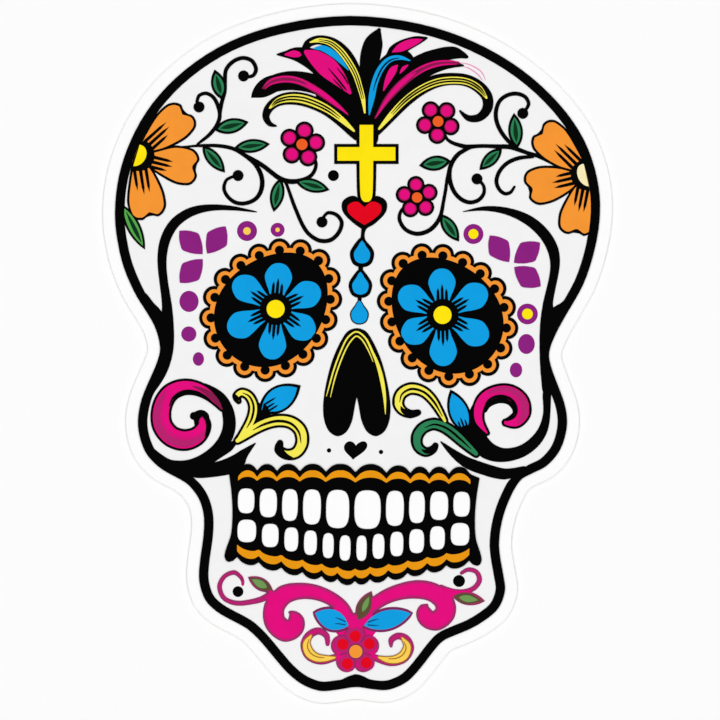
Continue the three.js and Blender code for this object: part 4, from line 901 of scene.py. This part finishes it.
def heart(x, y, across, tall, lean):
    turn = np.linspace(0, 2 * math.pi, 40, endpoint=False)
    wide = across / 2 * np.sign(np.sin(turn)) * np.abs(np.sin(turn)) ** 2.3
    lobes = 13 * np.cos(turn) - 5 * np.cos(2 * turn) - 2 * np.cos(3 * turn) - np.cos(4 * turn)
    high = tall * (lobes + 2.5) / 29
    return np.c_[x + wide + lean * high, y + high]


SMALL_DOT = 1.1
black("small_heart", [heart(-0.6, 120.75, 11.6, 9.3, 0.2),
                      dot(-13.5, 120.8, SMALL_DOT), dot(12.5, 120, SMALL_DOT)], ON_FACE)
print("nose and small heart")

# %% [markdown]
# ## Temples
# Purple dots run down beside each eye, the upper ones with amber or yellow middles. Each row gives a
# dot's place, its half width and half height, and the radius of its middle. Three loose black dots
# stand elsewhere on the face.

# %% Set the purple dots
PURPLE_DOTS = {
    "left": ("amber_ink", [
        (-54.5, 230.5, 5, 5, 1.9), (-39.2, 231.1, 3.5, 3.5, 1.1), (-83.5, 195.3, 4.8, 5.3, 0),
        (-83.6, 179, 3.8, 3.8, 0), (-78.8, 166.5, 2.8, 3.4, 0)]),
    "right": ("yellow_film", [
        (58.7, 229, 5, 5, 2.5), (85.7, 189, 5.2, 5.2, 2.7), (85.2, 174, 4.2, 5, 0), (80, 161, 3.1, 3.7, 0)]),
}
for side, (finish, rows) in PURPLE_DOTS.items():
    middles = [dot(x, y, middle) for x, y, _, _, middle in rows if middle]
    ink(f"{side}_temple_dots", [dot(*row[:4]) for row in rows], ON_FACE, "purple_film")
    ink(f"{side}_temple_dot_middles", middles, ON_FACE, finish, 1)
black("loose_dots", [dot(-11.3, 258.2, 2.75), dot(-59, 50.2, 2.7), dot(51.5, 55.5, 3)], ON_FACE)
print(sum(len(rows) for _, rows in PURPLE_DOTS.values()), "purple dots")

# %% [markdown]
# ## The chin's scroll
# The magenta scroll has a plum outline and a purple blush inside it. Both are rings between the scroll's
# own cut line and the same line moved inwards. Points that come too near to another stretch of the line
# are dropped, so a thin tendril is blushed right through.

# %% Outline and blush the scroll
PLUM_LINE, BLUSH = 0.45, 1.5
NEAR = 0.97  # share of the move that a point has to keep from the line
TINY = 1e-9  # keeps a division clear of zero


def moved_in(lines, by):
    start = np.concatenate(lines)
    span = np.concatenate([np.roll(line, -1, 0) - line for line in lines])
    kept = []
    for line in lines:
        along = unit(np.roll(line, -1, 0) - np.roll(line, 1, 0))
        moved = line + left_of(along) * by
        reach = moved[:, None] - start[None]
        share = ((reach * span).sum(2) / np.maximum((span ** 2).sum(1), TINY)).clip(0, 1)
        gap = np.linalg.norm(reach - share[..., None] * span, axis=2).min(1)
        kept.append(moved[gap > by * NEAR])
    return [line for line in kept if len(line) > 2]


scroll = [rounded(line) - SHIFT for line in cut_lines("chin_scroll")]
rims = moved_in(scroll, PLUM_LINE)
ink("chin_plum_line", scroll + rims, ON_KEY, "plum_ink")
ink("chin_blush", rims + moved_in(scroll, BLUSH), ON_KEY, "blush_ink")
print("scroll outlined with", sum(len(line) for line in rims), "points")

# %% [markdown]
# ## Shoots and crescents
# On the scroll lie olive shoots with moss green cores, and amber crescents between brown rims. A shoot is
# a lens, widest a little nearer to its base. A crescent's rim is the same stroke, wider, a coat below.

# %% Dress the scroll
LENS_STEPS, LENS_BASE, LENS_FULL = 14, 0.85, 0.9


def lens(base, tip, width):
    base, tip = np.array(base), np.array(tip)
    share = np.linspace(0, 1, LENS_STEPS)
    along = base + (tip - base) * share[:, None]
    side = np.array([base[1] - tip[1], tip[0] - base[0]]) / np.linalg.norm(tip - base)
    swell = width / 2 * np.sin(math.pi * share ** LENS_BASE)[:, None] ** LENS_FULL
    return np.r_[along + side * swell, (along - side * swell)[-2:0:-1]]


ink("chin_shoots", [lens((-42.3, 51), (-53.2, 57.1), 5.2), lens((48.8, 47.9), (63.4, 45.6), 5.4),
                    lens((1.2, 36.2), (7.4, 49.7), 6.8)], ON_KEY, "olive_ink", 1)
ink("chin_shoot_cores", [lens((-44.5, 52.2), (-52, 56.4), 3.6), lens((51.5, 47.4), (61, 46), 3.4),
                         lens((3.2, 40.2), (6.6, 47.8), 2.6)], ON_KEY, "moss_green_ink", 2)
CRESCENTS = [
    [(-22.4, 28.4, 0.6), (-24.7, 24.3, 3.2), (-23.4, 19.8, 4.2), (-19.9, 17.3, 3.6), (-15.4, 16.8, 2.6),
     (-10.6, 17.3, 0.8)],
    [(23, 27.2, 0.6), (25.6, 23, 3.2), (24, 18.5, 4.2), (20.2, 16.4, 3.6), (15.7, 16.2, 2.6),
     (11.4, 17.4, 0.8)]]
CRESCENT_RIM = 0.5
rims = [stroke(*[(x, y, wide + 2 * CRESCENT_RIM) for x, y, wide in points]) for points in CRESCENTS]
ink("chin_crescent_rims", rims, ON_KEY, "brown_ink", 1)
ink("chin_crescents", [stroke(*points) for points in CRESCENTS], ON_KEY, "amber_ink", 2)
ink("chin_crescent_lines", [
    stroke((-23.4, 26.6, 0.3), (-24.3, 23, 0.5), (-22.8, 19.7, 0.5), (-19.6, 17.7, 0.5), (-15.8, 17.2, 0.3)),
    stroke((23.9, 25.4, 0.3), (25, 22, 0.5), (23.4, 18.7, 0.5), (20, 16.9, 0.5), (16.2, 16.7, 0.3))],
    ON_KEY, "brown_ink", 3)
print(len(CRESCENTS), "crescents on the scroll")

# %% [markdown]
# ## Round the chin leaves
# The blue chin leaves have a plum rim, which is their own cut line moved outwards and laid below them. The
# stalk between them and the flower is filled with the scroll's magenta.

# %% Rim the chin leaves and fill the stalk
LEAF_RIM = 1.3
chin_leaves = [name for name in slot_of if name.startswith("chin") and "leaf" in name]
for name in chin_leaves:
    line = rounded(cut_lines(name)[0]) - SHIFT
    ink(name + "_rim", moved_in([line], -LEAF_RIM), ON_FACE, "plum_ink", 1)
STALK = [[(-3, 26), (-8.6, 27.6), (-10.6, 30.6), (-7.4, 33.4), (-3, 34)],
         [(3, 34), (7.4, 33.4), (10.4, 30.4), (8, 27.6), (3, 26)]]
ink("chin_stalk", STALK, ON_FACE, "magenta_film")
print(len(chin_leaves), "chin leaves rimmed")

# %% [markdown]
# ## The chin flower
# The flower has five petals with red dots round an orange middle, and a blush round the dots. The blush
# is a clover: seen from the middle, its edge is the far side of the round patch that the line of sight
# meets, or a plain core between two patches.

# %% Colour the chin flower
FLOWER = (-0.1, 20.3)
FLOWER_DOTS = [(-0.4, 28), (-6.6, 23.9), (6.7, 24.2), (-4.3, 14.2), (5.2, 14.7)]
RED_DOT, FLOWER_MIDDLE = 2.75, 3.3
PATCH, PATCH_CORE = 4.1, 5.4
CLOVER_POINTS = 180


def clover(middle, spots, radius, core):
    turn = np.linspace(0, 2 * math.pi, CLOVER_POINTS + 1)[:-1]
    ray = np.c_[np.cos(turn), np.sin(turn)]
    reach = np.full(CLOVER_POINTS, core)
    for spot in np.array(spots) - middle:
        along, aside = ray @ spot, ray @ (spot[1], -spot[0])
        edge = along + np.sqrt(np.maximum(radius ** 2 - aside ** 2, 0))
        reach = np.where((abs(aside) < radius) & (along > 0), np.maximum(reach, edge), reach)
    return middle + ray * reach[:, None]


ink("chin_flower_blush", [clover(FLOWER, FLOWER_DOTS, PATCH, PATCH_CORE)], ON_KEY, "blush_ink", 1)
ink("chin_flower_dots", [dot(x, y, RED_DOT) for x, y in FLOWER_DOTS], ON_KEY, "red_film", 2)
ink("chin_flower_middle", [dot(*FLOWER, FLOWER_MIDDLE)], ON_KEY, "orange_film", 2)
print("flower with", len(FLOWER_DOTS), "red dots")

# %% [markdown]
# ## The last lines on the chin
# Short plum lines part the petals, and a plum ring goes round the orange middle. The leaves get two veins
# each from the stalk, and the thin tendril at the left a thicker end.

# %% Part the flower's petals and vein the chin leaves
PARTINGS_AT, PARTINGS_TURN = (-0.5, 21), 54
MIDDLE_RING = 3.9
near, far = (ring_of(len(FLOWER_DOTS), PARTINGS_AT, radius, PARTINGS_TURN) for radius in (4.6, 8))
partings = [stroke((*a, 0.3), (*b, 0.5)) for a, b in zip(near, far)]
middle_ring = [dot(*FLOWER, MIDDLE_RING), dot(*FLOWER, FLOWER_MIDDLE)]
ink("chin_flower_partings", partings + middle_ring, ON_KEY, "plum_ink", 2)
ink("chin_leaf_veins", [
    stroke((-5.4, 33.7, 0.6), (-8.8, 34.2, 0.5), (-10.6, 34.2, 0.2)),
    stroke((-5.2, 35.2, 0.6), (-8.2, 36.6, 0.6), (-10.2, 37.2, 0.2)),
    stroke((6, 33.6, 0.6), (9.4, 33.3, 0.5), (11.2, 33.2, 0.2)),
    stroke((6, 35, 0.6), (9, 36, 0.6), (11.4, 36.6, 0.2))], ON_COLOUR, "dark_blue_ink")
TENDRIL_END = [(-57.6, 57.3, 1.7), (-56.7, 55.6, 1.8), (-56.6, 53.6, 1.4)]
ink("chin_tendril_end", [stroke(*TENDRIL_END)], ON_FACE, "blush_ink")
print(len(partings), "petals parted and the leaves veined,", len(films), "pieces in all")

# %% [markdown]
# ## Floor
# The decal lies face up on a white table. Its top is one large matt face, a hair below the liner so that
# the two don't share a surface.

# %% Lay the floor
FLOOR = 6.0
FLOOR_GAP = 0.0002
TABLE_WHITE = (0.97, 0.97, 0.97, 1)
corners = [(x * FLOOR, y * FLOOR, 0) for x, y in ((-1, -1), (1, -1), (1, 1), (-1, 1))]
floor_mesh = bpy.data.meshes.new("floor")
floor_mesh.from_pydata(corners, [], [(0, 1, 2, 3)])
floor = added("floor", floor_mesh)
floor.location.z = -FLOOR_GAP
table, _, skin = blank("white_table")
skin.inputs["Base Color"].default_value = TABLE_WHITE
skin.inputs["Roughness"].default_value = 0.9
skin.inputs["Specular IOR Level"].default_value = 0.0
floor_mesh.materials.append(table)
print("floor laid,", 2 * FLOOR, "m wide")

# %% [markdown]
# ## Light
# A flat print is lit from all sides at half height: four soft lamps and a white sky. So the film shows no
# glare, and the white border throws the same faint shadow on every side.

# %% Set the lamps and the sky
LAMPS, LAMP_POWER = 4, 0.85
LAMP_HEIGHT, LAMP_SOFTNESS = math.radians(46), math.radians(35)
SKY = 0.226
for k in range(LAMPS):
    lamp = bpy.data.lights.new(f"soft_lamp_{k}", "SUN")
    lamp.energy = LAMP_POWER
    lamp.angle = LAMP_SOFTNESS
    around = math.radians(360 / LAMPS * (k + 0.5))
    added(lamp.name, lamp).rotation_euler = (math.pi / 2 - LAMP_HEIGHT, 0, around)
world = bpy.data.worlds.new("studio")
world.use_nodes = True
sky = world.node_tree.nodes["Background"]
sky.inputs["Color"].default_value = (1, 1, 1, 1)
sky.inputs["Strength"].default_value = SKY
bpy.context.scene.world = world
print(LAMPS, "lamps at", round(math.degrees(LAMP_HEIGHT)), "degrees")

# %% [markdown]
# ## Camera
# The camera looks straight down, with a long lens so that the layers don't shift against each other
# towards the edges. Its height follows from the lens and the width of the view.

# %% Set the camera over the decal
VIEW_SPAN = 360 * MM
VIEW_MIDDLE = (np.array([2, 166]) + SHIFT) * MM
camera = bpy.data.cameras.new("copy_stand")
camera.lens = 120
camera.sensor_width = 36
stand = added("copy_stand", camera)
stand.location = (*VIEW_MIDDLE, VIEW_SPAN * camera.lens / camera.sensor_width + ON_FACE * MM)
bpy.context.scene.camera = stand
bpy.context.scene.view_settings.view_transform = "Standard"
print("camera at", [round(v, 3) for v in stand.location])
